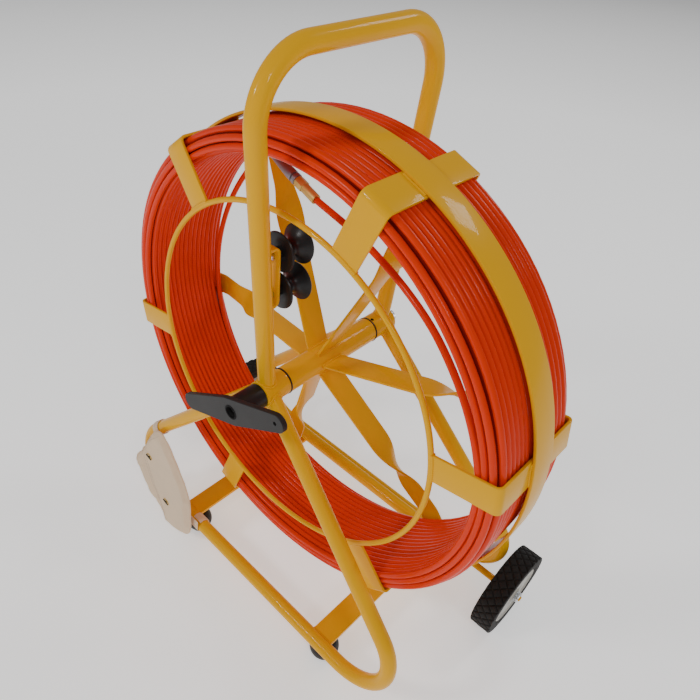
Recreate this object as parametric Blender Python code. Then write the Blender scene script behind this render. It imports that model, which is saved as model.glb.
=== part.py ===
"""Wheeled duct-rodder reel: a tubular stand, a caged coil of rod, brake, guide rollers and wheels.

Working axes while the pieces are made (hub axes): X runs along the base rails, Y along the reel's
axle (-Y is the brake side, +Y the wheel side), Z up, origin on the axle at the middle of the coil.
The root empty then moves everything so that the object stands on Z = 0, centred in X and Y.
All sizes are in metres. Every gap between pieces is the one named clearance GAP.
"""
import math

import bmesh
import bpy
import numpy as np
from mathutils import Matrix, Vector

# ---------------------------------------------------------------- driving sizes
GAP = 0.0003                # clearance between any two pieces

HOOP_R = 0.457              # reel hoop, outside radius (36 in reel)
FLAT_W = 0.0508             # 2 in flat bar: cage bars, hoop and cross bars
CAGE_T = 0.0048             # 3/16 in thickness of cage bars and hoop
CROSS_T = 0.0095            # 3/8 in thickness of the cross bars
TUBE_R = 0.015875           # 1 1/4 in frame tube
HUB_R = 0.0254              # 2 in hub tube and collars
SHAFT_R = 0.0127            # 1 in reel shaft
THREAD_R = 0.0095           # turned-down threaded ends of the shaft

FRAME_Y = 0.035             # middle of the stand along Y
LEG_Y = 0.159               # half the distance between the side frames at the hub
RAIL_Y = 0.2115             # the same at the base rails
RAIL_Z = -0.543             # rail centre line
CORNER_X = 0.543            # where leg and rail centre lines would meet
LEG_OFFSET = 0.006          # leg centre line passes this far outside the hub axis
BASE_BEND_R = 0.110         # bend between leg and rail
HANDLE_Z = 0.5566           # push bar centre line
HANDLE_HALF = 0.198         # half its span at the bends' theoretical corners
HANDLE_SHIFT = 0.007        # middle of the push bar from the middle of the stand
HANDLE_BEND_R = 0.092

COLLAR_NEAR_INNER = -0.0864
COLLAR_FAR_INNER = 0.1535
COLLAR_MARGIN = 0.0023      # collar beyond the tubes welded to it
WASHER_T = 0.0024
WASHER_R = 0.0264
BUSH_R = 0.0218
BUSH_L = 0.025

BAR_ANGLES = (10.5, 68.0, 125.6, 189.0, 249.2, 311.0)   # cage bars, degrees from +X towards +Z
ROOT_Y = 0.020              # spoke centre at the hub tube
SPOKE_MARGIN = 0.017        # the spoke turns into the coil's far side this far inside the innermost turns
TWIST_STEPS = 12            # stations over the quarter twist of each spoke
BAR_BEND_R = 0.009
TIE_HOLE_R = 0.0035
RING_DROP = 0.0737          # wire ring of the near side, inside the innermost turns
RING_WIRE = 0.00475

ROD_R = 0.00555             # 11 mm glass-fibre rod
ROD_PITCH = 0.01155         # turn to turn along the axle
FLANK_PITCH = 0.01166       # turn to turn on the flanks, where the short straights of a turn lie closer
COIL_DEPTH = 0.029          # between the centre lines of the innermost and outermost turns
CORE_TURNS = 7              # innermost turns to each side of the middle one
TURN_POINTS = 24
HOOP_SIDES = 64
CORNER_OVERLAP = 0.43       # turns over which the winding rounds each edge of the coil
END_ANGLE = 8.0             # where the last coiled turn leaves the coil
# the loose end: (distance inside the innermost turns, degrees, y)
TAIL = ((0.0065, 17.0, -0.0924), (0.0185, 26.0, -0.0890), (0.0340, 34.5, -0.0770),
        (0.0520, 44.0, -0.0610), (0.0710, 55.0, -0.0460), (0.0865, 66.8, -0.0310),
        (0.0930, 78.0, -0.0190))
FERRULE_START = (0.0870, 93.0, -0.008)
TIP_END = (0.0210, 111.5, 0.004)
FERRULE_L = 0.050
TIP_L = 0.080

WHEEL_R = 0.105             # 8 in nominal wheel
WHEEL_W = 0.048
WHEEL_CLEAR = 0.0113        # side frame's bend to the inner face of the tyre
AXLE_TAIL = 0.0119          # axle beyond the outer face of the tyre
RIM_R = 0.0715
AXLE_R = 0.008
JOURNAL_R = 0.00635
CROSS_IN = 0.0542           # cross bars and feet from the ends of the straight rail
SLEEVE_IN = 0.0078          # axle sleeve's ends from the ends of the straight rail
FOOT_Y = -0.150
FOOT_R = 0.033
STUD_R = 0.004

ROLLER_X = -0.009
ROLLER_Z = (0.2665, 0.1979)
ROLLER_R = 0.0338
ROLLER_WAIST = 0.014
ROLLER_BOSS = 0.0085        # length of the small boss between the bracket and the roller
ROLLER_L = 0.047
BOLT_R = 0.005
BRACKET_W = 0.030
BRACKET_T = 0.005
BRACKET_OUT = 0.015         # middle of the bracket's web from the back of the upright
BRACKET_Z = (0.1800, 0.2840)
BRACKET_BEND_R = 0.009

BARREL_R = 0.0235
BARREL_OUT = -0.198
LEVER_T = 0.0098
LEVER_REACH = 0.1495        # half the lever's length
LEVER_SHIFT = -0.0055       # its middle from the hub axis
LEVER_MID_R = 0.0285
LEVER_END_R = 0.0175
LEVER_TILT = 27.0
LEVER_EYE_R = 0.012
LEVER_HOLE_R = 0.0035
LEVER_HOLE_AT = 0.124

STRAP_T = 0.0025            # canvas loops round the tubes
STRAP_L = 0.028
POUCH_T = 0.021
POUCH_EDGE = ((-0.308, -0.312), (-0.288, -0.312), (-0.241, -0.369), (-0.209, -0.411),
              (-0.190, -0.455), (-0.185, -0.548), (-0.199, -0.583), (-0.231, -0.596),
              (-0.285, -0.606), (-0.334, -0.578), (-0.362, -0.576), (-0.395, -0.532),
              (-0.430, -0.494), (-0.421, -0.474), (-0.371, -0.396), (-0.330, -0.325))
BUTTONS = ((-0.339, -0.412), (-0.271, -0.517))
UPPER_LOOP_IN = 0.0279      # upper loop from the end of the straight leg
LOOP_CLEAR = 0.0036         # lower loop from the cross bar

# ---------------------------------------------------------------- sizes that follow
NEAR_Y = FRAME_Y - LEG_Y
FAR_Y = FRAME_Y + LEG_Y
TILT = math.atan2(RAIL_Y - LEG_Y, -RAIL_Z)
RAIL_W = RAIL_Z / math.cos(TILT)
RAIL_NEAR = FRAME_Y - RAIL_Y
RAIL_FAR = FRAME_Y + RAIL_Y
HOOP_IN = HOOP_R - CAGE_T
STRAP_OUT = math.sqrt((HOOP_IN * math.cos(math.pi / HOOP_SIDES) - GAP) ** 2 - (FLAT_W / 2) ** 2)
STRAP_MID = STRAP_OUT - CAGE_T / 2
COIL_R = STRAP_OUT - CAGE_T - GAP
TURN_R = COIL_R - ROD_R
COIL_IN_R = TURN_R - COIL_DEPTH
SPOKE_BEND = COIL_IN_R - SPOKE_MARGIN
TWIST_FROM = 0.52 * SPOKE_BEND
TWIST_TO = 0.85 * SPOKE_BEND
TIE_HOLE_AT = 0.482 * SPOKE_BEND
RING_R = COIL_IN_R - RING_DROP
TURN_Y = (CORE_TURNS + 1) * ROD_PITCH
LEG_MID_Y = TURN_Y + ROD_R + GAP + CAGE_T / 2
COLLAR_BORE = SHAFT_R + GAP
COLLAR_NEAR_OUT = NEAR_Y - TUBE_R - COLLAR_MARGIN
COLLAR_FAR_OUT = FAR_Y + TUBE_R + COLLAR_MARGIN
HUB_NEAR = COLLAR_NEAR_INNER + WASHER_T + 2 * GAP
HUB_FAR = COLLAR_FAR_INNER - WASHER_T - 2 * GAP
BAR_TOP = RAIL_Z + CROSS_T / 2
AXLE_Z = BAR_TOP + TUBE_R + GAP
AXLE_Y = RAIL_FAR - (AXLE_Z - RAIL_Z) * math.tan(TILT) - (TUBE_R + AXLE_R + GAP) / math.cos(TILT)
FLOOR_Z = AXLE_Z - WHEEL_R
LEAN = math.asin(LEG_OFFSET / math.hypot(CORNER_X, RAIL_W))
TANGENT = BASE_BEND_R / math.tan((math.atan2(-RAIL_W, CORNER_X) + LEAN) / 2)
RAIL_HALF = CORNER_X - TANGENT
SLEEVE_HALF = RAIL_HALF - SLEEVE_IN
UPPER_LOOP_AT = math.hypot(CORNER_X, RAIL_W) * math.cos(LEAN) - TANGENT - UPPER_LOOP_IN
CROSS_X = RAIL_HALF - CROSS_IN
LOWER_LOOP_X = FLAT_W / 2 + LOOP_CLEAR + STRAP_L / 2 - CROSS_X
WHEEL_IN_X = RAIL_HALF + BASE_BEND_R + TUBE_R + WHEEL_CLEAR
WHEEL_OUT_X = WHEEL_IN_X + WHEEL_W
WHEEL_X = WHEEL_IN_X + WHEEL_W / 2
AXLE_HALF = WHEEL_OUT_X + AXLE_TAIL
HANDLE_Y = FRAME_Y + HANDLE_SHIFT
UPRIGHT_SLOPE = (HANDLE_Y - HANDLE_HALF - NEAR_Y) / HANDLE_Z
BRACKET_Y = NEAR_Y + UPRIGHT_SLOPE * sum(BRACKET_Z) / 2 + TUBE_R + BRACKET_OUT
ROLLER_FROM = BRACKET_Y + BRACKET_T / 2 + ROLLER_BOSS
ROLLER_TO = ROLLER_FROM + ROLLER_L
CUT_R = HUB_R + GAP

YELLOW = ("powder_yellow", (0.95, 0.50, 0.02), 0.35, 0.0)
BLACK = ("black_plastic", (0.025, 0.025, 0.027), 0.45, 0.0)
ORANGE = ("rod_orange", (0.85, 0.08, 0.01), 0.35, 0.0)
RUBBER = ("black_rubber", (0.03, 0.03, 0.03), 0.75, 0.0)
GREY = ("wheel_grey", (0.42, 0.40, 0.35), 0.5, 0.0)
STEEL = ("zinc_steel", (0.65, 0.66, 0.68), 0.28, 1.0)
BRASS = ("brass", (0.75, 0.55, 0.22), 0.3, 1.0)
BRONZE = ("bronze_bush", (0.55, 0.36, 0.18), 0.4, 1.0)
CANVAS = ("canvas_beige", (0.68, 0.58, 0.44), 0.9, 0.0)


# ---------------------------------------------------------------- helpers
def clear_scene():
    """Start from an empty scene."""
    for item in list(bpy.data.objects):
        bpy.data.objects.remove(item, do_unlink=True)


def material(node, finish):
    """One Principled material per piece."""
    label, colour, roughness, metallic = finish
    mat = bpy.data.materials.new(f"{node}_{label}")
    mat.use_nodes = True
    shader = mat.node_tree.nodes["Principled BSDF"]
    shader.inputs["Base Color"].default_value = (*colour, 1.0)
    shader.inputs["Roughness"].default_value = roughness
    shader.inputs["Metallic"].default_value = metallic
    mat.diffuse_color = (*colour, 1.0)
    return mat


def empty(name, parent=None, at=(0.0, 0.0, 0.0)):
    """An empty that carries a body's joint axis."""
    node = bpy.data.objects.new(name, None)
    bpy.context.scene.collection.objects.link(node)
    node.parent = parent
    node.location = at
    return node


def face_outward(bm):
    """Make every face of a closed body look outward."""
    bmesh.ops.recalc_face_normals(bm, faces=bm.faces)
    if bm.calc_volume(signed=True) < 0:
        bmesh.ops.reverse_faces(bm, faces=bm.faces)


def to_object(name, bm, finish, parent, at=(0.0, 0.0, 0.0), crease=38.0):
    """Turn a bmesh into a named object with outward faces and smooth round sides."""
    face_outward(bm)
    for face in bm.faces:
        face.smooth = True
    for edge in bm.edges:
        edge.smooth = edge.calc_face_angle(0.0) < math.radians(crease)
    mesh = bpy.data.meshes.new(name)
    bm.to_mesh(mesh)
    bm.free()
    mesh.materials.append(material(name, finish))
    node = bpy.data.objects.new(name, mesh)
    bpy.context.scene.collection.objects.link(node)
    node.parent = parent
    node.location = at
    return node


def cut(node, bm, label):
    """Subtract a hidden cutter, made in the same axes as the node, from the node."""
    face_outward(bm)
    mesh = bpy.data.meshes.new(label)
    bm.to_mesh(mesh)
    bm.free()
    cutter = bpy.data.objects.new(label, mesh)
    bpy.context.scene.collection.objects.link(cutter)
    cutter.parent = node.parent
    cutter.location = node.location
    cutter.hide_render = True
    cutter.display_type = "WIRE"
    step = node.modifiers.new(label, "BOOLEAN")
    step.operation = "DIFFERENCE"
    step.solver = "EXACT"
    step.object = cutter


def axis_matrix(axis):
    """Rotation that takes +Z to the given direction."""
    direction = Vector(axis).normalized()
    return direction.to_track_quat("Z", "Y").to_matrix().to_4x4()


def lathe(profile, sides, axis=(0, 0, 1), closed=True, centre=(0, 0, 0)):
    """Spin a profile of (radius, height) points right round an axis."""
    bm = bmesh.new()
    points = [bm.verts.new((radius, 0.0, height)) for radius, height in profile]
    count = len(points) if closed else len(points) - 1
    edges = [bm.edges.new((points[i], points[(i + 1) % len(points)])) for i in range(count)]
    bmesh.ops.spin(bm, geom=points + edges, cent=(0, 0, 0), axis=(0, 0, 1),
                   angle=2 * math.pi, steps=sides, use_merge=True)
    bmesh.ops.remove_doubles(bm, verts=bm.verts, dist=1e-6)
    bm.transform(Matrix.Translation(centre) @ axis_matrix(axis))
    return bm


def solid_round(profile, sides, axis=(0, 0, 1), centre=(0, 0, 0)):
    """A lathe whose profile starts and ends on the axis."""
    full = [(0.0, profile[0][1]), *profile, (0.0, profile[-1][1])]
    return lathe(full, sides, axis, closed=False, centre=centre)


def ring_profile(inner, outer, start, end):
    """Rectangle for a plain ring or tube."""
    return [(inner, start), (outer, start), (outer, end), (inner, end)]


def loft(sections, closed=False):
    """Skin a list of equal-length point loops; the ends are capped unless closed."""
    bm = bmesh.new()
    loops = [[bm.verts.new(point) for point in section] for section in sections]
    count = len(loops[0])
    pairs = list(zip(loops, loops[1:]))
    if closed:
        pairs.append((loops[-1], loops[0]))
    else:
        bm.faces.new(loops[0])
        bm.faces.new(loops[-1])
    for first, second in pairs:
        for i in range(count):
            j = (i + 1) % count
            bm.faces.new((first[i], first[j], second[j], second[i]))
    return bm


def fillet(points, radius, steps):
    """Round the inner corners of a 2-D polyline with tangent arcs."""
    out = [Vector(points[0])]
    for i in range(1, len(points) - 1):
        here = Vector(points[i])
        back = (Vector(points[i - 1]) - here).normalized()
        ahead = (Vector(points[i + 1]) - here).normalized()
        half = back.angle(ahead) / 2
        reach = radius / math.tan(half)
        middle = here + (back + ahead).normalized() * radius / math.sin(half)
        start = here + back * reach - middle
        end = here + ahead * reach - middle
        sweep = math.pi - 2 * half
        for k in range(steps + 1):
            t = k / steps
            a = math.sin((1 - t) * sweep) / math.sin(sweep)
            b = math.sin(t * sweep) / math.sin(sweep)
            out.append(middle + start * a + end * b)
    out.append(Vector(points[-1]))
    return out


def tube(path, place, normal, radius, sides):
    """A round bar along a planar path; place maps path points to space."""
    points = [Vector(place(p)) for p in path]
    normal = Vector(normal).normalized()
    sections = []
    for i, point in enumerate(points):
        before = points[max(i - 1, 0)]
        after = points[min(i + 1, len(points) - 1)]
        along = (after - before).normalized()
        if 0 < i < len(points) - 1:
            first = (point - before).normalized()
            second = (after - point).normalized()
            along = (first + second).normalized()
            stretch = 1 / max(0.5, math.cos(first.angle(second) / 2))
        else:
            stretch = 1.0
        side = along.cross(normal).normalized()
        loop = []
        for k in range(sides):
            angle = 2 * math.pi * (k + 0.5) / sides
            loop.append(point + normal * radius * math.sin(angle)
                        + side * radius * stretch * math.cos(angle))
        sections.append(loop)
    return loft(sections)


def hexagon(half_flats, height, count=12):
    """Points of a hexagon at a height, twelve to match a twelve-sided circle."""
    points = []
    corner = half_flats / math.cos(math.pi / 6)
    for k in range(count):
        angle = 2 * math.pi * k / count
        reach = corner if k % 2 == 0 else half_flats
        points.append((reach * math.cos(angle), reach * math.sin(angle), height))
    return points


def circle(radius, height, count=12):
    """Points of a circle at a height."""
    return [(radius * math.cos(2 * math.pi * k / count), radius * math.sin(2 * math.pi * k / count),
             height) for k in range(count)]


def nut(half_flats, bore, start, end, axis, centre=(0, 0, 0)):
    """A hexagon nut along an axis; the bore's flats keep the clearance."""
    bore /= math.cos(math.pi / 12)
    bm = loft([hexagon(half_flats, start), hexagon(half_flats, end), circle(bore, end),
               circle(bore, start)], closed=True)
    bm.transform(Matrix.Translation(centre) @ axis_matrix(axis))
    return bm


def cylinder(radius, start, end, sides=24):
    """A cutter cylinder between two points."""
    start = Vector(start)
    end = Vector(end)
    length = (end - start).length
    return solid_round([(radius, 0.0), (radius, length)], sides, end - start, start)


def polar(radius, degrees, y):
    """Point at a radius and angle round the reel axis."""
    angle = math.radians(degrees)
    return Vector((radius * math.cos(angle), y, radius * math.sin(angle)))


# ---------------------------------------------------------------- stand
def side_place(y_hub, sign):
    """Map (x, w) in a leaning side frame's plane to space."""
    def place(point):
        x, w = point
        return (x, y_hub - sign * w * math.sin(TILT), w * math.cos(TILT))
    return place


def leg_point(distance):
    """Point on the right leg's centre line, in the side frame's plane, at a distance from the hub."""
    angle = math.atan2(-RAIL_W, CORNER_X) + LEAN
    return (LEG_OFFSET * math.sin(angle) + distance * math.cos(angle),
            LEG_OFFSET * math.cos(angle) - distance * math.sin(angle))


def side_frame(name, y_hub, sign, parent):
    """Leg, bend, rail, bend, leg: one open-topped tube loop, saddled onto its collar."""
    x, w = leg_point(TUBE_R - LEG_OFFSET + 0.001)
    path = fillet([(x, w), (CORNER_X, RAIL_W), (-CORNER_X, RAIL_W), (-x, w)], BASE_BEND_R, 7)
    normal = (0, math.cos(TILT), sign * math.sin(TILT))
    bm = tube(path, side_place(y_hub, sign), normal, TUBE_R, 12)
    node = to_object(name, bm, YELLOW, parent)
    cut(node, cylinder(CUT_R, (0, y_hub - 0.05, 0), (0, y_hub + 0.05, 0), 40), name + "_saddle")


def handle_loop(parent):
    """The upright push-bar loop, saddled onto both collars."""
    path = fillet([(NEAR_Y, TUBE_R * 0.3), (HANDLE_Y - HANDLE_HALF, HANDLE_Z),
                   (HANDLE_Y + HANDLE_HALF, HANDLE_Z), (FAR_Y, TUBE_R * 0.3)], HANDLE_BEND_R, 6)
    bm = tube(path, lambda p: (0.0, p[0], p[1]), (1, 0, 0), TUBE_R, 12)
    node = to_object("handle_loop", bm, YELLOW, parent)
    reach = TUBE_R + 0.02
    cut(node, cylinder(CUT_R, (0, NEAR_Y - reach, 0), (0, NEAR_Y + reach, 0), 40), "handle_near_saddle")
    cut(node, cylinder(CUT_R, (0, FAR_Y - reach, 0), (0, FAR_Y + reach, 0), 40), "handle_far_saddle")


def hub_collar(name, start, end, hole, parent):
    """The welded collar that holds one end of the reel shaft, with its small grease hole."""
    bm = lathe(ring_profile(COLLAR_BORE, HUB_R, start, end), 28, (0, 1, 0))
    node = to_object(name, bm, YELLOW, parent)
    angle, y = hole
    cut(node, cylinder(0.003, polar(SHAFT_R, angle, y), polar(HUB_R + 0.004, angle, y), 12),
        name + "_hole")


def base(parent):
    """Cross bars, studs and feet."""
    start = RAIL_NEAR + TUBE_R + GAP
    end = RAIL_FAR - TUBE_R - GAP
    bottom = RAIL_Z - CROSS_T / 2
    deep = CROSS_T / 2
    stud_low = -0.045
    for side, sign in (("left", -1), ("right", 1)):
        x = sign * CROSS_X
        half = FLAT_W / 2
        section = [(x - half, y, z) for y, z in ((start, bottom), (end, bottom), (end, BAR_TOP),
                                                 (start, BAR_TOP))]
        other = [(x + half, y, z) for _, y, z in section]
        node = to_object("cross_bar_" + side, loft([section, other]), YELLOW, parent)
        top = (x, FOOT_Y, bottom + deep)
        cut(node, cylinder(STUD_R + GAP, (x, FOOT_Y, bottom - 0.005), top, 16), "stud_hole_" + side)
        foot(side, (x, FOOT_Y, bottom), stud_low, parent)
        stud = solid_round([(STUD_R, stud_low + GAP), (STUD_R, deep - GAP)], 16)
        to_object("foot_stud_" + side, stud, STEEL, parent, (x, FOOT_Y, bottom))


def foot(side, at, stud_low, parent):
    """A rubber ball foot with a short neck and a blind hole for its stud."""
    low = FLOOR_Z - at[2]
    centre = low + FOOT_R
    outline = [(FOOT_R * 0.62, low)]
    for k in range(5):
        angle = math.radians(-36 + k * 25)
        outline.append((FOOT_R * math.cos(angle), centre + FOOT_R * math.sin(angle)))
    outline += [(0.0115, -0.006), (0.0115, -GAP), (STUD_R + GAP, -GAP), (STUD_R + GAP, stud_low)]
    to_object("foot_" + side, solid_round(outline, 20), RUBBER, parent, at)


def axle(parent):
    """Sleeve on the cross bars with the wheel axle running through it."""
    at = (0.0, AXLE_Y, AXLE_Z)
    sleeve = lathe(ring_profile(AXLE_R + GAP, TUBE_R, -SLEEVE_HALF, SLEEVE_HALF), 24, (1, 0, 0))
    to_object("axle_sleeve", sleeve, YELLOW, parent, at)
    shoulder = WHEEL_IN_X - GAP
    rod = solid_round([(JOURNAL_R - 0.001, -AXLE_HALF), (JOURNAL_R, -AXLE_HALF + 0.001),
                       (JOURNAL_R, -shoulder), (AXLE_R, -shoulder), (AXLE_R, shoulder),
                       (JOURNAL_R, shoulder), (JOURNAL_R, AXLE_HALF - 0.001),
                       (JOURNAL_R - 0.001, AXLE_HALF)], 16, (1, 0, 0))
    to_object("wheel_axle", rod, YELLOW, parent, at)
    for side, sign in (("left", -1), ("right", 1)):
        out = (sign, 0, 0)
        first = WHEEL_OUT_X - 0.001 + GAP
        washer = lathe(ring_profile(JOURNAL_R + GAP, 0.0140, first, first + 0.0018), 16, out)
        to_object("wheel_washer_" + side, washer, STEEL, parent, at)
        second = first + 0.0018 + GAP
        to_object("axle_nut_" + side, nut(0.0110, JOURNAL_R + GAP, second, second + 0.0075, out),
                  STEEL, parent, at)


# ---------------------------------------------------------------- wheels
def wheel(side, sign, parent):
    """Pressed disc rim and black tyre, made on the wheel's own empty."""
    half = WHEEL_W / 2
    hub = half - 0.001
    out = (sign, 0, 0)
    rim = lathe([(JOURNAL_R + GAP, -half), (0.017, -half), (0.017, 0.0095), (0.060, 0.0115),
                 (0.062, -0.0195), (RIM_R, -0.0195), (RIM_R, 0.0215), (0.0675, 0.0215),
                 (0.0640, 0.0165), (0.022, 0.0150), (0.018, hub), (JOURNAL_R + GAP, hub)], 20, out)
    to_object("wheel_rim_" + side, rim, GREY, parent)
    seat = (RIM_R + GAP) / math.cos(math.pi / 36)
    edge = 0.002
    tyre = lathe([(seat, -0.0195), (0.080, -0.0225), (WHEEL_R - edge, -half), (WHEEL_R, -half + edge),
                  (WHEEL_R, half - edge), (WHEEL_R - edge, half), (0.080, 0.0228), (seat, 0.0215)], 36,
                 out)
    to_object("wheel_tyre_" + side, tyre, RUBBER, parent)


# ---------------------------------------------------------------- guide rollers
def roller_bracket(parent):
    """C-shaped flat bar on the near upright with two bolt holes in its web."""
    low, high = BRACKET_Z
    ends = [NEAR_Y + UPRIGHT_SLOPE * z + TUBE_R / 2 for z in (low, high)]
    path = fillet([(ends[0], low), (BRACKET_Y, low), (BRACKET_Y, high), (ends[1], high)],
                  BRACKET_BEND_R, 4)
    sections = []
    for i, point in enumerate(path):
        before = path[max(i - 1, 0)]
        after = path[min(i + 1, len(path) - 1)]
        along = (after - before).normalized()
        side = Vector((along[1], -along[0])) * BRACKET_T / 2
        loop = []
        for x, s in ((-1, -1), (1, -1), (1, 1), (-1, 1)):
            spot = point + side * s
            loop.append((ROLLER_X + x * BRACKET_W / 2, spot[0], spot[1]))
        sections.append(loop)
    node = to_object("roller_bracket", loft(sections), YELLOW, parent)
    for k, z in enumerate(ROLLER_Z):
        hole = cylinder(BOLT_R + GAP, (ROLLER_X, BRACKET_Y - 0.01, z), (ROLLER_X, BRACKET_Y + 0.01, z), 16)
        cut(node, hole, f"bracket_hole_{k}")
    upright = cylinder(TUBE_R + GAP, (0, NEAR_Y, 0), (0, HANDLE_Y - HANDLE_HALF, HANDLE_Z), 40)
    cut(node, upright, "bracket_saddle")


def guide_roller(label, z, parent, frame):
    """A waisted plastic roller, its cantilevered bolt and the bolt's nut."""
    face = BRACKET_Y + BRACKET_T / 2
    boss = 0.009
    bore = BOLT_R + GAP
    start = face + GAP
    end = ROLLER_TO + 0.003
    outline = [(bore, start), (boss, start), (boss, ROLLER_FROM), (ROLLER_R - 0.002, ROLLER_FROM),
               (ROLLER_R, ROLLER_FROM + 0.003), (ROLLER_R - 0.001, ROLLER_FROM + 0.008)]
    middle = (ROLLER_FROM + ROLLER_TO) / 2
    half = (ROLLER_TO - ROLLER_FROM) / 2 - 0.008
    for k in range(1, 6):
        t = -1 + k / 3
        outline.append((ROLLER_WAIST + (ROLLER_R - 0.001 - ROLLER_WAIST) * abs(t) ** 2.2,
                        middle + half * t))
    outline += [(ROLLER_R - 0.001, ROLLER_TO - 0.008), (ROLLER_R, ROLLER_TO - 0.003),
                (ROLLER_R - 0.002, ROLLER_TO), (boss, ROLLER_TO), (boss, end), (bore, end)]
    to_object("guide_roller_" + label, lathe(outline, 16, (0, 1, 0)), BLACK, parent)
    back = BRACKET_Y - BRACKET_T / 2 - GAP
    nut_start = end + GAP
    bolt = loft([hexagon(0.0075, back - 0.0063), hexagon(0.0075, back), circle(BOLT_R, back),
                 circle(BOLT_R, nut_start + 0.010)])
    bolt.transform(axis_matrix((0, 1, 0)))
    at = (ROLLER_X, 0.0, z)
    to_object("roller_bolt_" + label, bolt, STEEL, frame, at)
    to_object("roller_nut_" + label, nut(0.008, BOLT_R + GAP, nut_start, nut_start + 0.008, (0, 1, 0)),
              STEEL, frame, at)


# ---------------------------------------------------------------- shaft and brake
def shaft(parent):
    """Reel shaft with a nut beyond the far collar, and the two thrust washers."""
    near = BARREL_OUT - 0.001
    near_step = COLLAR_NEAR_OUT + 0.001
    far_step = COLLAR_FAR_OUT - 0.001
    far = COLLAR_FAR_OUT + 0.020
    rod = solid_round([(THREAD_R - 0.001, near), (THREAD_R, near + 0.001), (THREAD_R, near_step),
                       (SHAFT_R, near_step), (SHAFT_R, far_step), (THREAD_R, far_step),
                       (THREAD_R, far - 0.001), (THREAD_R - 0.001, far)], 20, (0, 1, 0))
    to_object("reel_shaft", rod, STEEL, parent)
    first = COLLAR_FAR_OUT + GAP
    to_object("shaft_nut", nut(0.0145, THREAD_R + GAP, first, first + 0.015, (0, 1, 0)), STEEL, parent)
    for label, start in (("near", COLLAR_NEAR_INNER + GAP), ("far", HUB_FAR + GAP)):
        ring = lathe(ring_profile(COLLAR_BORE, WASHER_R, start, start + WASHER_T), 24, (0, 1, 0))
        to_object("hub_washer_" + label, ring, BLACK, parent)


def brake(parent):
    """Threaded barrel and the double-ended lever plate on the end of it."""
    inner = COLLAR_NEAR_OUT - GAP
    edge = 0.0012
    barrel = lathe([(THREAD_R + GAP, BARREL_OUT), (BARREL_R, BARREL_OUT), (BARREL_R, inner - edge),
                    (BARREL_R - edge, inner), (THREAD_R + GAP, inner)], 24, (0, 1, 0))
    to_object("brake_barrel", barrel, BLACK, parent)
    reach = LEVER_REACH - LEVER_END_R
    spread = math.acos((LEVER_MID_R - LEVER_END_R) / reach)
    outline = []
    for k in range(7):
        angle = -spread + 2 * spread * k / 6
        outline.append((reach + LEVER_END_R * math.cos(angle), LEVER_END_R * math.sin(angle)))
    for k in range(3):
        angle = spread + (math.pi - 2 * spread) * k / 2
        outline.append((LEVER_MID_R * math.cos(angle), LEVER_MID_R * math.sin(angle)))
    outline += [(-x, -z) for x, z in outline]
    outline = [(x + LEVER_SHIFT, z) for x, z in outline]
    turn = math.radians(LEVER_TILT)
    tilted = [(x * math.cos(turn) - z * math.sin(turn), x * math.sin(turn) + z * math.cos(turn))
              for x, z in outline]
    back = BARREL_OUT - GAP
    front = back - LEVER_T
    soft = 0.0008
    sections = []
    for y, shrink in ((back, soft), (back - soft, 0.0), (front + soft, 0.0), (front, soft)):
        sections.append([(x * (1 - shrink / math.hypot(x, z)), y, z * (1 - shrink / math.hypot(x, z)))
                         for x, z in tilted])
    node = to_object("brake_lever", loft(sections), BLACK, parent)
    cut(node, cylinder(LEVER_EYE_R, (0, front - 0.005, 0), (0, back + 0.005, 0), 24), "lever_eye")
    x = LEVER_HOLE_AT * math.cos(turn)
    z = LEVER_HOLE_AT * math.sin(turn)
    cut(node, cylinder(LEVER_HOLE_R, (x, front - 0.005, z), (x, back + 0.005, z), 12), "lever_hole")


# ---------------------------------------------------------------- reel
def hub(parent):
    """Hub tube with a bronze bush pressed into each end."""
    bore = BUSH_R + GAP
    tube_ring = lathe(ring_profile(bore, HUB_R, HUB_NEAR, HUB_FAR), 28, (0, 1, 0))
    to_object("hub_tube", tube_ring, YELLOW, parent)
    for label, start in (("near", HUB_NEAR), ("far", HUB_FAR - BUSH_L)):
        ring = lathe(ring_profile(SHAFT_R + GAP, BUSH_R, start, start + BUSH_L), 24, (0, 1, 0))
        to_object("hub_bushing_" + label, ring, BRONZE, parent)


def bar_path():
    """Centre line of a cage bar as (radius, y): spoke, far side, strap, near side down to the ring."""
    inner = HUB_R + GAP
    end = RING_R + RING_WIRE + GAP
    spoke = fillet([(inner, ROOT_Y), (SPOKE_BEND, LEG_MID_Y), (STRAP_MID - 0.02, LEG_MID_Y)], 0.060, 2)
    rest = fillet([(STRAP_MID - 0.02, LEG_MID_Y), (STRAP_MID, LEG_MID_Y), (STRAP_MID, -LEG_MID_Y),
                   (end, -LEG_MID_Y)], BAR_BEND_R, 4)
    root = Vector((inner, ROOT_Y))
    along = spoke[1] - root
    extra = []
    for radius in (inner + 0.012, TWIST_FROM):
        extra.append(root + along * ((radius - inner) / along[0]))
    for k in range(1, TWIST_STEPS + 1):
        radius = TWIST_FROM + (TWIST_TO - TWIST_FROM) * k / TWIST_STEPS
        extra.append(root + along * ((radius - inner) / along[0]))
    return [root] + extra + spoke[1:-1] + rest[1:]


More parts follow.
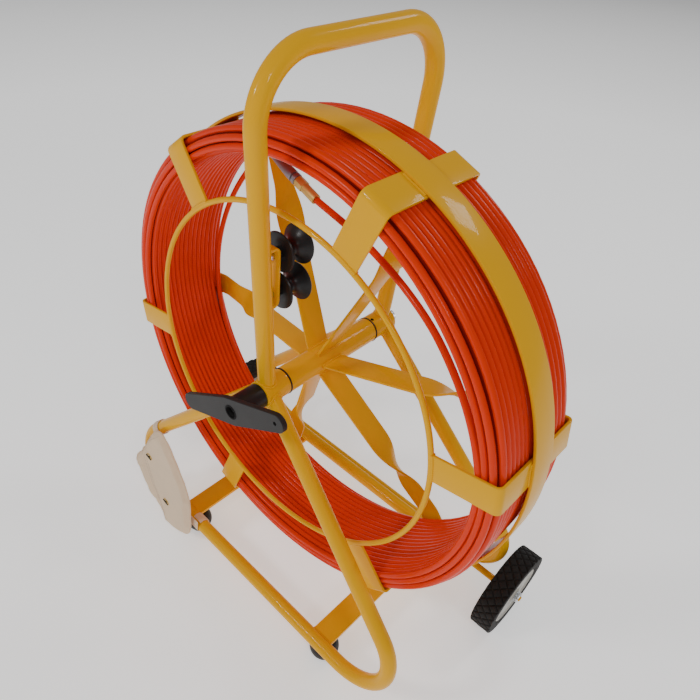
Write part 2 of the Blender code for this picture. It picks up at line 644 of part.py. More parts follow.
def bar_frame(path, i):
    """Width and thickness directions of the bar section at a station, as (radial, y, round)."""
    before = path[max(i - 1, 0)]
    after = path[min(i + 1, len(path) - 1)]
    first = (path[i] - before) if i else (after - path[i])
    second = (after - path[i]) if i < len(path) - 1 else first
    along = (first.normalized() + second.normalized()).normalized()
    normal = Vector((-along[1], along[0]))
    if i == 0:
        normal = Vector((0.0, 1.0))
    t = min(max((path[i][0] - TWIST_FROM) / (TWIST_TO - TWIST_FROM), 0.0), 1.0)
    if i > TWIST_STEPS + 4:
        t = 1.0
    turn = (1 - t * t * (3 - 2 * t)) * math.pi / 2
    width = (-math.sin(turn) * normal[0], -math.sin(turn) * normal[1], math.cos(turn))
    thick = (math.cos(turn) * normal[0], math.cos(turn) * normal[1], math.sin(turn))
    return width, thick


def cage_bar(index, degrees, parent):
    """One flat bar: spoke with a quarter twist, wrapped over the coil and down to the near ring."""
    path = bar_path()
    angle = math.radians(degrees)
    radial = Vector((math.cos(angle), 0, math.sin(angle)))
    side = Vector((-math.sin(angle), 0, math.cos(angle)))
    axle_way = Vector((0, 1, 0))
    sections = []
    for i, point in enumerate(path):
        width, thick = bar_frame(path, i)
        wide = radial * width[0] + axle_way * width[1] + side * width[2]
        deep = radial * thick[0] + axle_way * thick[1] + side * thick[2]
        centre = radial * point[0] + axle_way * point[1]
        loop = []
        for a, b in ((-1, -1), (1, -1), (1, 1), (-1, 1)):
            loop.append(centre + wide * a * FLAT_W / 2 + deep * b * CAGE_T / 2)
        sections.append(loop)
    bm = loft(sections)
    bmesh.ops.triangulate(bm, faces=bm.faces)
    node = to_object(f"cage_bar_{index}", bm, YELLOW, parent, crease=30)
    if index == 6:
        slope = (LEG_MID_Y - ROOT_Y) / (SPOKE_BEND - HUB_R)
        spot = radial * TIE_HOLE_AT + axle_way * (ROOT_Y + slope * (TIE_HOLE_AT - HUB_R) - FLAT_W * 0.34)
        cut(node, cylinder(TIE_HOLE_R, spot - side * 0.01, spot + side * 0.01, 12), "tie_hole")


def cage_rings(parent):
    """Outer hoop and the wire ring of the near side."""
    half = FLAT_W / 2
    to_object("outer_hoop", lathe(ring_profile(HOOP_IN, HOOP_R, -half, half), HOOP_SIDES, (0, 1, 0)),
              YELLOW, parent)
    section = [(RING_R + RING_WIRE * math.cos(2 * math.pi * k / 6),
                -LEG_MID_Y + RING_WIRE * math.sin(2 * math.pi * k / 6)) for k in range(6)]
    to_object("near_ring", lathe(section, 44, (0, 1, 0)), YELLOW, parent)


def coil_points():
    """Centre line of the outer layer: out the far side, across, in the near side, then the tail."""
    across = 2 * TURN_Y / ROD_PITCH
    spiral = (TURN_R - COIL_IN_R) / FLANK_PITCH
    start_across = spiral - CORNER_OVERLAP
    end_across = start_across + across
    start_in = end_across - CORNER_OVERLAP
    total = start_in + spiral
    count = int(math.floor(total * TURN_POINTS))
    points = []
    for k in range(count + 1):
        turns = total - (count - k) / TURN_POINTS
        radius = min(COIL_IN_R + FLANK_PITCH * turns, TURN_R, TURN_R - FLANK_PITCH * (turns - start_in))
        y = TURN_Y - ROD_PITCH * min(max(turns - start_across, 0.0), across)
        points.append(polar(radius, END_ANGLE - 360 * (total - turns), y))
    return points


def tail_points(last):
    """Smooth path of the loose end, finishing straight in line with the ferrule."""
    knots = [polar(COIL_IN_R - inside, degrees, y) for inside, degrees, y in (*TAIL, FERRULE_START, TIP_END)]
    first_axis, second_axis = knots[-2:]
    line = (second_axis - first_axis).normalized()
    knots = list(last) + knots[:-1] + [first_axis + line * 0.017]
    out = []
    for i in range(1, len(knots) - 2):
        for k in (1, 2):
            t = k / 2
            a, b, c, d = knots[i - 1:i + 3]
            out.append(b * 1.0 + (c - a) * (0.5 * t) + (a * 2 - b * 5 + c * 4 - d) * (0.5 * t * t)
                       + (b * 3 - a - c * 3 + d) * (0.5 * t ** 3))
    out.append(knots[-1])
    return out, first_axis, line


def least_gap(points):
    """Least distance between the rod's surface and itself, measured between centre-line points."""
    spots = np.array([tuple(p) for p in points])
    steps = np.linalg.norm(np.diff(spots, axis=0), axis=1)
    run = np.concatenate(([0.0], np.cumsum(steps)))
    least = 1.0
    for i in range(len(spots) - 1):
        other = np.flatnonzero(run > run[i] + 0.30)
        if len(other) < 2:
            break
        start, end = spots[other[:-1]], spots[other[1:]]
        along = end - start
        t = np.clip(((spots[i] - start) * along).sum(1) / (along * along).sum(1), 0, 1)
        least = min(least, np.linalg.norm(start + along * t[:, None] - spots[i], axis=1).min())
    return least - 2 * ROD_R


def coil(parent):
    """Inner layers of the coil, the wound outer layer with its loose end, ferrule and tip."""
    core_out = TURN_R * math.cos(math.pi / TURN_POINTS) - ROD_R - GAP
    valley = COIL_IN_R - ROD_R * 0.09
    crown = COIL_IN_R - ROD_R * 0.94
    flank = TURN_Y - ROD_R - GAP - 0.0001
    edge = 0.004
    profile = [(valley, -flank), (core_out - edge, -flank), (core_out, -flank + edge),
               (core_out, flank - edge), (core_out - edge, flank), (valley, flank)]
    for turn in range(CORE_TURNS, -CORE_TURNS - 1, -1):
        y = turn * ROD_PITCH
        profile += [(crown, y + ROD_R * 0.5), (crown, y - ROD_R * 0.5)]
        if turn > -CORE_TURNS:
            profile.append((valley, y - ROD_PITCH / 2))
    to_object("rod_core", lathe(profile, 36, (0, 1, 0)), ORANGE, parent)
    points = coil_points()
    tail, start, line = tail_points(points[-2:])
    points += tail
    print(f"rod_winding: {len(points)} points, least gap {least_gap(points) * 1000:.3f} mm")
    curve = bpy.data.curves.new("rod_winding", "CURVE")
    curve.dimensions = "3D"
    curve.twist_mode = "MINIMUM"
    curve.bevel_depth = ROD_R
    curve.bevel_resolution = 1
    curve.use_fill_caps = True
    spline = curve.splines.new("POLY")
    spline.points.add(len(points) - 1)
    for slot, point in zip(spline.points, points):
        slot.co = (*point, 1.0)
    curve.materials.append(material("rod_winding", ORANGE))
    node = bpy.data.objects.new("rod_winding", curve)
    bpy.context.scene.collection.objects.link(node)
    node.parent = parent
    rod_end(start, line, parent)


def rod_end(start, line, parent):
    """Brass ferrule crimped on the rod and the steel leader screwed into it."""
    mouth = ROD_R + GAP
    step = 0.019
    ferrule = solid_round([(mouth, step), (mouth, 0.0), (0.0078, 0.0), (0.0085, 0.001),
                           (0.0085, FERRULE_L * 0.62), (0.0072, FERRULE_L * 0.66),
                           (0.0072, FERRULE_L * 0.72), (0.0088, FERRULE_L * 0.74),
                           (0.0088, FERRULE_L - 0.001), (0.008, FERRULE_L), (0.0043, FERRULE_L),
                           (0.0043, FERRULE_L - 0.012)], 14, line, start)
    to_object("rod_ferrule", ferrule, BRASS, parent)
    base_at = FERRULE_L + GAP
    tip = solid_round([(0.004, base_at - 0.011), (0.004, base_at), (0.0090, base_at),
                       (0.0098, base_at + 0.0012), (0.0098, base_at + 0.020),
                       (0.0082, base_at + 0.027), (0.0075, base_at + 0.040),
                       (0.0062, base_at + TIP_L * 0.72), (0.0060, base_at + TIP_L * 0.86),
                       (0.0045, base_at + TIP_L * 0.95), (0.0018, base_at + TIP_L)], 14, line, start)
    to_object("rod_tip", tip, STEEL, parent)


# ---------------------------------------------------------------- tool pouch
def pouch(parent):
    """Canvas pouch hung on the near-left leg and rail by two loops, with two turn buttons."""
    place = side_place(NEAR_Y, -1)
    normal = Vector((0, -math.cos(TILT), math.sin(TILT)))
    back = TUBE_R + GAP + STRAP_T + GAP
    middle = Vector((sum(p[0] for p in POUCH_EDGE), sum(p[1] for p in POUCH_EDGE))) / len(POUCH_EDGE)
    outline = rounded(POUCH_EDGE, 0.022)
    sections = []
    for share, shrink in ((0.0, 0.012), (0.22, 0.003), (0.5, 0.0), (0.78, 0.004), (1.0, 0.014)):
        loop = []
        for x, z in outline:
            away = Vector((x, z)) - middle
            spot = middle + away * (1 - shrink / away.length)
            loop.append(Vector(place((spot[0], spot[1] / math.cos(TILT)))) + normal * (back + share * POUCH_T))
        sections.append(loop)
    to_object("canvas_pouch", loft(sections), CANVAS, parent)
    for label, (x, z) in zip(("upper", "lower"), BUTTONS):
        at = Vector(place((x, z / math.cos(TILT)))) + normal * (back + POUCH_T + GAP)
        button = solid_round([(0.0085, 0.0), (0.0085, 0.0015), (0.0045, 0.002), (0.0045, 0.004),
                              (0.0030, 0.005)], 12, normal)
        to_object("pouch_button_" + label, button, BRASS, parent, at)
    ends = []
    for distance in (UPPER_LOOP_AT, UPPER_LOOP_AT + STRAP_L):
        x, w = leg_point(distance)
        ends.append(Vector(place((-x, w))))
    outer = TUBE_R + GAP + STRAP_T
    profile = ring_profile(TUBE_R + GAP, outer, -STRAP_L / 2, STRAP_L / 2)
    to_object("pouch_loop_upper", lathe(profile, 20, ends[1] - ends[0]), CANVAS, parent, ends[0])
    to_object("pouch_loop_lower", lathe(profile, 20, (1, 0, 0)), CANVAS, parent,
              (LOWER_LOOP_X, RAIL_NEAR, RAIL_Z))


def rounded(points, radius):
    """Round every corner of a closed outline."""
    out = []
    count = len(points)
    for i in range(count):
        trio = [points[i - 1], points[i], points[(i + 1) % count]]
        corner = Vector(trio[1])
        legs = [(Vector(p) - corner) for p in (trio[0], trio[2])]
        half = legs[0].angle(legs[1]) / 2
        fit = min(radius, 0.45 * min(leg.length for leg in legs) * math.tan(half))
        out += fillet(trio, fit, 2)[1:-1]
    return out


# ---------------------------------------------------------------- assembly
def settle(machine):
    """Move the whole object so that it stands on Z = 0, centred in X and Y."""
    bpy.context.view_layer.update()
    graph = bpy.context.evaluated_depsgraph_get()
    low = Vector((1e9, 1e9, 1e9))
    high = -low
    for node in bpy.data.objects:
        if node.type not in {"MESH", "CURVE"} or node.hide_render:
            continue
        shape = node.evaluated_get(graph)
        mesh = shape.to_mesh()
        for vert in mesh.vertices:
            spot = shape.matrix_world @ vert.co
            low = Vector(map(min, low, spot))
            high = Vector(map(max, high, spot))
        shape.to_mesh_clear()
    machine.location = (-(low[0] + high[0]) / 2, -(low[1] + high[1]) / 2, -low[2])
    bpy.context.view_layer.update()
    print("origin shift", [round(v * 1000, 3) for v in machine.location],
          "size", [round(v * 1000, 2) for v in high - low])


def main():
    """Build every piece."""
    clear_scene()
    machine = empty("machine")
    reel = empty("reel_axis", machine)
    lever = empty("brake_axis", machine)
    side_frame("side_frame_near", NEAR_Y, -1, machine)
    side_frame("side_frame_far", FAR_Y, 1, machine)
    handle_loop(machine)
    hub_collar("hub_collar_near", COLLAR_NEAR_OUT, COLLAR_NEAR_INNER, (145.0, -0.127), machine)
    hub_collar("hub_collar_far", COLLAR_FAR_INNER, COLLAR_FAR_OUT, (79.0, 0.160), machine)
    base(machine)
    axle(machine)
    for side, sign in (("left", -1), ("right", 1)):
        wheel(side, sign, empty("wheel_axis_" + side, machine, (sign * WHEEL_X, AXLE_Y, AXLE_Z)))
    roller_bracket(machine)
    for label, z in zip(("upper", "lower"), ROLLER_Z):
        guide_roller(label, z, empty("roller_axis_" + label, machine, (ROLLER_X, 0, z)), machine)
    shaft(machine)
    brake(lever)
    pouch(machine)
    hub(reel)
    for index, degrees in enumerate(BAR_ANGLES, 1):
        cage_bar(index, degrees, reel)
    cage_rings(reel)
    coil(reel)
    settle(machine)


main()
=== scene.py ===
"""Looks of the wheeled duct-rodder reel: stand, caged coil of rod, brake, rollers and wheels.

Every form is built in hub axes, in metres: X along the base rails, Y along the reel's axle with the
brake at -Y and the wheels at +Y, Z up, and the origin on the axle at the middle of the coil.
"""

import logging
import math
import random
from dataclasses import dataclass, field
from enum import Enum
from typing import Callable, Iterable, Sequence

import bpy
from mathutils import Matrix, Vector, noise
from mathutils.bvhtree import BVHTree


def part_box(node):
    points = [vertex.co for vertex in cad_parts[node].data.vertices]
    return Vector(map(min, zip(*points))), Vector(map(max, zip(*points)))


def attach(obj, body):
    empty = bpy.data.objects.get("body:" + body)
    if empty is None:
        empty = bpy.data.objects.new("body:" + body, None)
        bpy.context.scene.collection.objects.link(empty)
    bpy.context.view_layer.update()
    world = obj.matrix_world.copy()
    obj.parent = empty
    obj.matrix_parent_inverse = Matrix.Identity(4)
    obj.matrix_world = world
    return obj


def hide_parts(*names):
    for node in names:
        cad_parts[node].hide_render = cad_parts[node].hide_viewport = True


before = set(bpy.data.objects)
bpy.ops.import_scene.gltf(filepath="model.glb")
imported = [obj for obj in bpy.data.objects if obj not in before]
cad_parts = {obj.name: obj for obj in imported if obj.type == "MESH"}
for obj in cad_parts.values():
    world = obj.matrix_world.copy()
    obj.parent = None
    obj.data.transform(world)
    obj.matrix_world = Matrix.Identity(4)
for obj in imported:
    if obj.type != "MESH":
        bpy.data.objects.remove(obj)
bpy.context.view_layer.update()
LOG = logging.getLogger("reel_looks")

Loop = list[Vector]
X_AXIS = (1, 0, 0)
Y_AXIS = (0, 1, 0)
Z_AXIS = (0, 0, 1)
ORIGIN = (0, 0, 0)
GAP = 0.0003
TUBE_R = 0.015875
HUB_R = 0.0254
SHAFT_R = 0.0127
FLAT_W = 0.0508
CAGE_T = 0.0048
HOOP_R = 0.457
ROD_R = 0.00555
WELD_CREASE = 80.0
WELD_RIPPLE = 0.0045
SEAM_STEPS = 24
LEG_MID_Y = 0.0924 + ROD_R + GAP + CAGE_T / 2


def hub_origin() -> Vector:
    """The hub axes' origin in the shared frame: the middle of the outer hoop's box."""
    low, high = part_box("outer_hoop")
    return (Vector(low) + Vector(high)) / 2


HUB = hub_origin()


class Body(Enum):
    """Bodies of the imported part."""

    STAND = "stand"
    REEL = "reel"
    BRAKE = "brake_handle"
    WHEEL_LEFT = "wheel_left"
    WHEEL_RIGHT = "wheel_right"
    ROLLER_UPPER = "roller_upper"
    ROLLER_LOWER = "roller_lower"


class Side(Enum):
    """Left and right of the stand, as the sign of X."""

    LEFT = -1
    RIGHT = 1

    @property
    def label(self) -> str:
        """The side as it stands in the names of pieces."""
        return self.name.lower()


# ------------------------------------------------------------------ shader expressions
class Signal:
    """A node's output socket that takes part in Python arithmetic."""

    def __init__(self, graph: "Graph", socket: bpy.types.NodeSocket) -> None:
        """Wrap a socket of a graph."""
        self.graph = graph
        self.socket = socket

    def _math(self, operation: str, first: object, second: object) -> "Signal":
        """Add one Math node."""
        return self.graph.out("ShaderNodeMath", {"operation": operation}, {0: first, 1: second})

    def __add__(self, other: object) -> "Signal":
        """Sum."""
        return self._math("ADD", self, other)

    __radd__ = __add__

    def __sub__(self, other: object) -> "Signal":
        """Difference."""
        return self._math("SUBTRACT", self, other)

    def __rsub__(self, other: object) -> "Signal":
        """Reflected difference."""
        return self._math("SUBTRACT", other, self)

    def __mul__(self, other: object) -> "Signal":
        """Product."""
        return self._math("MULTIPLY", self, other)

    __rmul__ = __mul__

    def above(self, edge: float, soft: float) -> "Signal":
        """A clamped ramp that rises from 0 to 1 over a soft edge.

        Args:
            edge: value where the ramp is at its middle.
            soft: width of the ramp.

        Returns:
            The ramp as a signal.
        """
        return self.graph.out("ShaderNodeMapRange", {"clamp": True},
                              {0: self, 1: edge - soft / 2, 2: edge + soft / 2, 3: 0.0, 4: 1.0})


class Graph:
    """One material's node tree, written as expressions."""

    def __init__(self, name: str) -> None:
        """Make the material with its Principled shader.

        Args:
            name: the material's name.
        """
        self.material = bpy.data.materials.new(name)
        self.material.use_nodes = True
        self.tree = self.material.node_tree
        self.shader = self.tree.nodes["Principled BSDF"]
        self._place = None

    def node(self, kind: str, settings: dict, values: dict) -> bpy.types.Node:
        """Add one node.

        Args:
            kind: the node's type.
            settings: properties set first.
            values: socket name or index to a value or a signal.

        Returns:
            The new node.
        """
        made = self.tree.nodes.new(kind)
        for key, value in settings.items():
            setattr(made, key, value)
        for key, value in values.items():
            self.feed(made.inputs[key], value)
        return made

    def feed(self, socket: bpy.types.NodeSocket, value: object) -> None:
        """Link a signal to a socket, or set its value.

        Args:
            socket: the input.
            value: a signal to link, or the value to set.
        """
        if isinstance(value, Signal):
            self.tree.links.new(value.socket, socket)
        else:
            socket.default_value = value

    def out(self, kind: str, settings: dict, values: dict, output: object = 0) -> Signal:
        """Add one node and return one of its outputs."""
        return Signal(self, self.node(kind, settings, values).outputs[output])

    def place(self) -> Signal:
        """Object coordinates, in metres.

        Returns:
            The coordinates, from one node for the whole graph.
        """
        if self._place is None:
            self._place = self.out("ShaderNodeTexCoord", {}, {}, "Object")
        return self._place

    def grain(self, scale: float, detail: float = 2.0, rough: float = 0.5) -> Signal:
        """Noise from 0 to 1 over the object."""
        return self.out("ShaderNodeTexNoise", {}, {"Vector": self.place(), "Scale": scale,
                                                    "Detail": detail, "Roughness": rough}, 0)

    def blend(self, factor: object, first: Sequence[float], second: Sequence[float]) -> Signal:
        """Mix two colours.

        Args:
            factor: share of the second colour.
            first: colour at 0.
            second: colour at 1.

        Returns:
            The mixed colour.
        """
        return self.out("ShaderNodeMix", {"data_type": "RGBA"},
                        {0: factor, 6: (*first, 1.0), 7: (*second, 1.0)}, 2)

    def relief(self, height: Signal, depth: float, strength: float = 1.0) -> None:
        """Feed a height to the shader's normal through a Bump node.

        Args:
            height: the height as a signal.
            depth: what a height of 1 stands for, in metres.
            strength: how much of the bump shows.
        """
        bump = self.out("ShaderNodeBump", {}, {"Height": height, "Distance": depth,
                                                "Strength": strength}, "Normal")
        self.feed(self.shader.inputs["Normal"], bump)

    def set(self, **values: object) -> None:
        """Set the shader's sockets by name, with underscores for spaces."""
        for key, value in values.items():
            socket = self.shader.inputs[key.replace("_", " ")]
            if isinstance(value, tuple):
                value = (*value, 1.0)
            self.feed(socket, value)


@dataclass(frozen=True)
class Finish:
    """A surface finish; each kind writes its own nodes.

    Attributes:
        name: what a maker calls it.
        slot: the record's material slot; nothing in this script reads it.
        colour: base colour, linear.
        rough: mean roughness.
    """

    name: str
    slot: str
    colour: tuple[float, float, float]
    rough: float

    def material(self) -> bpy.types.Material:
        """The finish as a material, made once.

        Returns:
            The material.
        """
        known = bpy.data.materials.get(self.name)
        if known is not None:
            return known
        graph = Graph(self.name)
        self.dress(graph)
        return graph.material

    def shade(self, amount: float) -> tuple[float, float, float]:
        """The base colour times an amount."""
        return tuple(channel * amount for channel in self.colour)

    def dress(self, graph: Graph) -> None:
        """Plain finish."""
        graph.set(Base_Color=self.colour, Roughness=self.rough)


class PowderCoat(Finish):
    """Glossy powder coat with a faint orange peel and uneven film."""

    def dress(self, graph: Graph) -> None:
        """Write the coat's nodes.

        Args:
            graph: the material's node tree.
        """
        film = graph.grain(9.0, 3.0)
        peel = graph.grain(260.0, 1.0)
        graph.set(Base_Color=graph.blend(film, self.shade(0.95), self.colour),
                  Roughness=self.rough - 0.04 + film * 0.08, Coat_Weight=0.18, Coat_Roughness=0.05,
                  Specular_IOR_Level=0.04, IOR=1.5)
        graph.relief(peel, 0.00025, 0.35)


class RodSheath(Finish):
    """Extruded glossy sheath with long faint scuffs."""

    def dress(self, graph: Graph) -> None:
        """Write the sheath's nodes.

        Args:
            graph: the material's node tree.
        """
        patch = graph.grain(7.0, 3.0)
        scuff = graph.grain(90.0, 3.0, 0.6).above(0.68, 0.16)
        graph.set(Base_Color=graph.blend(patch * 0.8, self.colour, self.shade(0.86)),
                  Roughness=self.rough + scuff * 0.08 + patch * 0.05, Specular_IOR_Level=0.08,
                  Coat_Weight=0.18, Coat_Roughness=0.16, IOR=1.48)
        graph.relief(graph.grain(60.0, 0.0), 0.0001, 0.1)


class Moulded(Finish):
    """Black moulded or coated part with a fine satin texture."""

    def dress(self, graph: Graph) -> None:
        """Write the moulding's nodes.

        Args:
            graph: the material's node tree.
        """
        worn = graph.grain(30.0, 4.0, 0.6)
        graph.set(Base_Color=graph.blend(worn, self.shade(0.85), self.shade(1.2)),
                  Roughness=self.rough - 0.06 + worn * 0.12, Specular_IOR_Level=0.3, IOR=1.48)
        graph.relief(graph.grain(900.0, 2.0), 0.0002, 0.4)


class TyreRubber(Finish):
    """Matt tyre rubber, paler where it is scuffed."""

    def dress(self, graph: Graph) -> None:
        """Write the rubber's nodes.

        Args:
            graph: the material's node tree.
        """
        dust = graph.grain(24.0, 5.0, 0.65).above(0.62, 0.3)
        graph.set(Base_Color=graph.blend(dust * 0.5, self.colour, self.shade(2.2)),
                  Roughness=self.rough + dust * 0.1, Specular_IOR_Level=0.25, IOR=1.45)
        graph.relief(graph.grain(700.0, 3.0), 0.0003, 0.5)


@dataclass(frozen=True)
class BareMetal(Finish):
    """Plated or turned metal; less metallic where the real piece is dull."""

    metallic: float = 1.0

    def dress(self, graph: Graph) -> None:
        """Write the metal's nodes.

        Args:
            graph: the material's node tree.
        """
        haze = graph.grain(60.0, 4.0, 0.6)
        graph.set(Base_Color=graph.blend(haze, self.shade(0.86), self.colour),
                  Metallic=self.metallic, Roughness=self.rough + haze * 0.12)
        graph.relief(graph.grain(420.0, 3.0), 0.0002, 0.25)


class WovenCanvas(Finish):
    """Plain-weave cotton canvas with slubs and light soiling."""

    def dress(self, graph: Graph) -> None:
        """Write the weave's nodes.

        Args:
            graph: the material's node tree.
        """
        warp, weft = (graph.out("ShaderNodeTexWave", {"bands_direction": way},
                                {"Vector": graph.place(), "Scale": 130.0, "Distortion": 1.5,
                                 "Detail Scale": 3.0}, 1) for way in "XZ")
        slub = graph.grain(45.0, 4.0, 0.6)
        soil = graph.grain(14.0, 4.0, 0.6)
        tone = graph.blend(soil.above(0.55, 0.35) * 0.35, self.colour, self.shade(0.8))
        graph.set(Base_Color=tone, Roughness=self.rough, Sheen_Weight=0.25)
        graph.relief(warp * 0.5 + weft * 0.5 + slub * 0.7, 0.0009, 0.6)


class PaleFloor(Finish):
    """Studio floor that glows a little round the reel and fades out far from it."""

    def dress(self, graph: Graph) -> None:
        """Write the floor's nodes.

        Args:
            graph: the material's node tree.
        """
        reach = graph.out("ShaderNodeVectorMath", {"operation": "LENGTH"}, {0: graph.place()}, 1)
        glow = graph.blend(reach.above(7.5, 7.0), (1.0, 1.0, 1.0), (0.0, 0.0, 0.0))
        graph.set(Base_Color=self.colour, Roughness=self.rough, Specular_IOR_Level=0.1,
                  Emission_Strength=0.6, Emission_Color=glow)


YELLOW = PowderCoat("yellow_powder_coat", "yellow_paint", (0.90, 0.45, 0.0), 0.30)
ROD = RodSheath("rod_sheath", "rod_glass", (0.85, 0.038, 0.0), 0.26)
# A darker copy of the rod's sheath: painted shade for the hidden layers that show between the
# turns.
ROD_PAINTED_SHADE = RodSheath("rod_sheath_painted_shade", "rod_glass", (0.27, 0.007, 0.0), 0.55)
BLACK = Moulded("black_moulding", "black_plastic", (0.016, 0.015, 0.015), 0.34)
LEVER = Moulded("lever_coat", "black_plastic", (0.017, 0.0155, 0.015), 0.50)
FOOT = Moulded("foot_rubber_black", "foot_rubber", (0.013, 0.012, 0.012), 0.5)
TYRE = TyreRubber("tyre_rubber_black", "tyre_rubber", (0.017, 0.015, 0.014), 0.70)
GREY = PowderCoat("wheel_disc_grey", "wheel_grey", (0.46, 0.44, 0.39), 0.42)
ZINC = BareMetal("bright_zinc", "zinc_steel", (0.70, 0.72, 0.75), 0.26)
TURNED = BareMetal("turned_steel", "shaft_steel", (0.40, 0.38, 0.36), 0.34)
BRASS = BareMetal("machined_brass", "brass", (0.78, 0.54, 0.15), 0.38, 0.55)
LEADER = BareMetal("dull_leader_steel", "zinc_steel", (0.34, 0.34, 0.38), 0.36, 0.6)
# Near black: painted shade on the walls of the collar's grease hole, and the dark ring round the
# lever's eye.
SHADE_AND_DARK_RING = Moulded("hole_shade_and_dark_ring", "black_plastic", (0.006, 0.005, 0.005), 0.8)
DARK_BRASS = BareMetal("dark_turn_bar", "brass", (0.06, 0.05, 0.035), 0.35)
CANVAS = WovenCanvas("cotton_canvas", "canvas", (0.86, 0.64, 0.43), 0.92)
THREAD = Finish("sewing_thread", "canvas", (0.58, 0.45, 0.33), 0.9)


# ------------------------------------------------------------------ forms
def clamp(value: float, low: float = 0.0, high: float = 1.0) -> float:
    """A value kept between two bounds."""
    return min(max(value, low), high)


def smooth_step(t: float) -> float:
    """A rise from 0 to 1 that starts and ends level."""
    return t * t * (3 - 2 * t)


def bell(degrees: float, middle: float, spread: float) -> float:
    """A bell curve over the angle between two directions, all in degrees."""
    away = abs((degrees - middle + 180) % 360 - 180)
    return math.exp(-(away / spread) ** 2)


@dataclass
class Form:
    """Vertices and faces in hub axes that become one piece's mesh."""

    verts: list[Vector] = field(default_factory=list)
    faces: list[tuple[int, ...]] = field(default_factory=list)

    def add(self, other: "Form") -> "Form":
        """Join another form to this one.

        Args:
            other: the form that joins.

        Returns:
            This form.
        """
        base = len(self.verts)
        self.verts += other.verts
        self.faces += [tuple(base + i for i in face) for face in other.faces]
        return self

    def moved(self, matrix: Matrix) -> "Form":
        """A copy through a matrix."""
        return Form([matrix @ v for v in self.verts], list(self.faces))


def loft(loops: Sequence[Loop], closed: bool = False, caps: bool = True) -> Form:
    """Skin equal-length loops of points.

    Args:
        loops: the loops in order.
        closed: join the last loop to the first.
        caps: close both ends with a face.

    Returns:
        The skinned form.
    """
    count = len(loops[0])
    form = Form([Vector(p) for loop in loops for p in loop])
    pairs = [(i, i + 1) for i in range(len(loops) - 1)]
    if closed:
        pairs.append((len(loops) - 1, 0))
    for a, b in pairs:
        for i in range(count):
            j = (i + 1) % count
            form.faces.append((a * count + i, a * count + j, b * count + j, b * count + i))
    if caps and not closed:
        form.faces.append(tuple(reversed(range(count))))
        last = (len(loops) - 1) * count
        form.faces.append(tuple(range(last, last + count)))
    return form


def aim(axis: Sequence[float], at: Sequence[float] = ORIGIN) -> Matrix:
    """A matrix that takes +Z to an axis and the origin to a point."""
    turn = Vector(axis).normalized().to_track_quat("Z", "Y").to_matrix().to_4x4()
    return Matrix.Translation(at) @ turn


def ring_points(radius: float, height: float, sides: int) -> Loop:
    """A circle of points at a height."""
    angles = [math.tau * k / sides for k in range(sides)]
    return [Vector((radius * math.cos(a), radius * math.sin(a), height)) for a in angles]


def lathe(profile: Sequence[tuple[float, float]], sides: int, axis: Sequence[float] = Z_AXIS,
          at: Sequence[float] = ORIGIN, hollow: bool = False) -> Form:
    """Turn a profile of (radius, height) points.

    Args:
        profile: the outline, along the axis.
        sides: how many facets round.
        axis: direction of the turning axis.
        at: where the axis starts.
        hollow: the outline is a closed ring section.

    Returns:
        The turned form.
    """
    return loft([ring_points(r, h, sides) for r, h in profile], closed=hollow).moved(aim(axis, at))


def soften(points: Sequence[tuple[float, float]], radius: float, closed: bool = True,
           steps: int = 3) -> list[tuple[float, float]]:
    """Round the corners of a 2-D outline.

    Args:
        points: the outline's corners.
        radius: largest rounding radius.
        closed: the outline is a closed one.
        steps: facets per corner.

    Returns:
        The rounded outline.
    """
    out: list[tuple[float, float]] = []
    count = len(points)
    for i, spot in enumerate(points):
        if not closed and i in (0, count - 1):
            out.append(tuple(spot))
            continue
        here = Vector(spot)
        back = Vector(points[i - 1]) - here
        ahead = Vector(points[(i + 1) % count]) - here
        half = back.angle(ahead) / 2
        if half > 1.55:
            out.append(tuple(spot))
            continue
        reach = min(radius / math.tan(half), 0.45 * back.length, 0.45 * ahead.length)
        first = here + back.normalized() * reach
        last = here + ahead.normalized() * reach
        for k in range(steps + 1):
            t = k / steps
            out.append(tuple(first * (1 - t) ** 2 + here * 2 * t * (1 - t) + last * t * t))
    return out


def arc_path(points: Sequence[tuple[float, float]], radius: float, steps: int) -> list[Vector]:
    """A 2-D polyline with true tangent arcs at its inner corners.

    Args:
        points: the line's corners.
        radius: radius of the arcs.
        steps: facets per arc.

    Returns:
        The line's points.
    """
    out = [Vector(points[0])]
    for i in range(1, len(points) - 1):
        here = Vector(points[i])
        back = (Vector(points[i - 1]) - here).normalized()
        ahead = (Vector(points[i + 1]) - here).normalized()
        half = back.angle(ahead) / 2
        middle = here + (back + ahead).normalized() * radius / math.sin(half)
        start = here + back * radius / math.tan(half) - middle
        end = here + ahead * radius / math.tan(half) - middle
        sweep = math.pi - 2 * half
        for k in range(steps + 1):
            t = k / steps
            out.append(middle + start * (math.sin((1 - t) * sweep) / math.sin(sweep))
                       + end * (math.sin(t * sweep) / math.sin(sweep)))
    out.append(Vector(points[-1]))
    return out


def tube(path: Sequence[Vector], radius: float | Callable[[float], float], sides: int,
         closed: bool = False) -> Form:
    """A round tube along a path, carried without twist.

    Args:
        path: centre line points.
        radius: one radius, or a function of the fraction along the path.
        sides: facets round.
        closed: join the ends.

    Returns:
        The tube.
    """
    count = len(path)
    loops: list[Loop] = []
    normal: Vector | None = None
    for i, point in enumerate(path):
        before = path[i - 1] if i or closed else point
        after = path[(i + 1) % count] if i < count - 1 or closed else point
        along = (after - before).normalized()
        if normal is None:
            normal = along.orthogonal().normalized()
        normal = (normal - along * normal.dot(along)).normalized()
        across = along.cross(normal)
        size = radius(i / max(count - 1, 1)) if callable(radius) else radius
        loops.append([point + normal * size * math.cos(math.tau * k / sides)
                      + across * size * math.sin(math.tau * k / sides) for k in range(sides)])
    if closed:
        first, last = loops[0], loops[-1]
        shift = min(range(sides), key=lambda s: (first[s] - last[0]).length)
        form = loft(loops, caps=False)
        base = (count - 1) * sides
        for k in range(sides):
            j = (k + 1) % sides
            form.faces.append((base + k, base + j, (j + shift) % sides, (k + shift) % sides))
        return form
    return loft(loops)


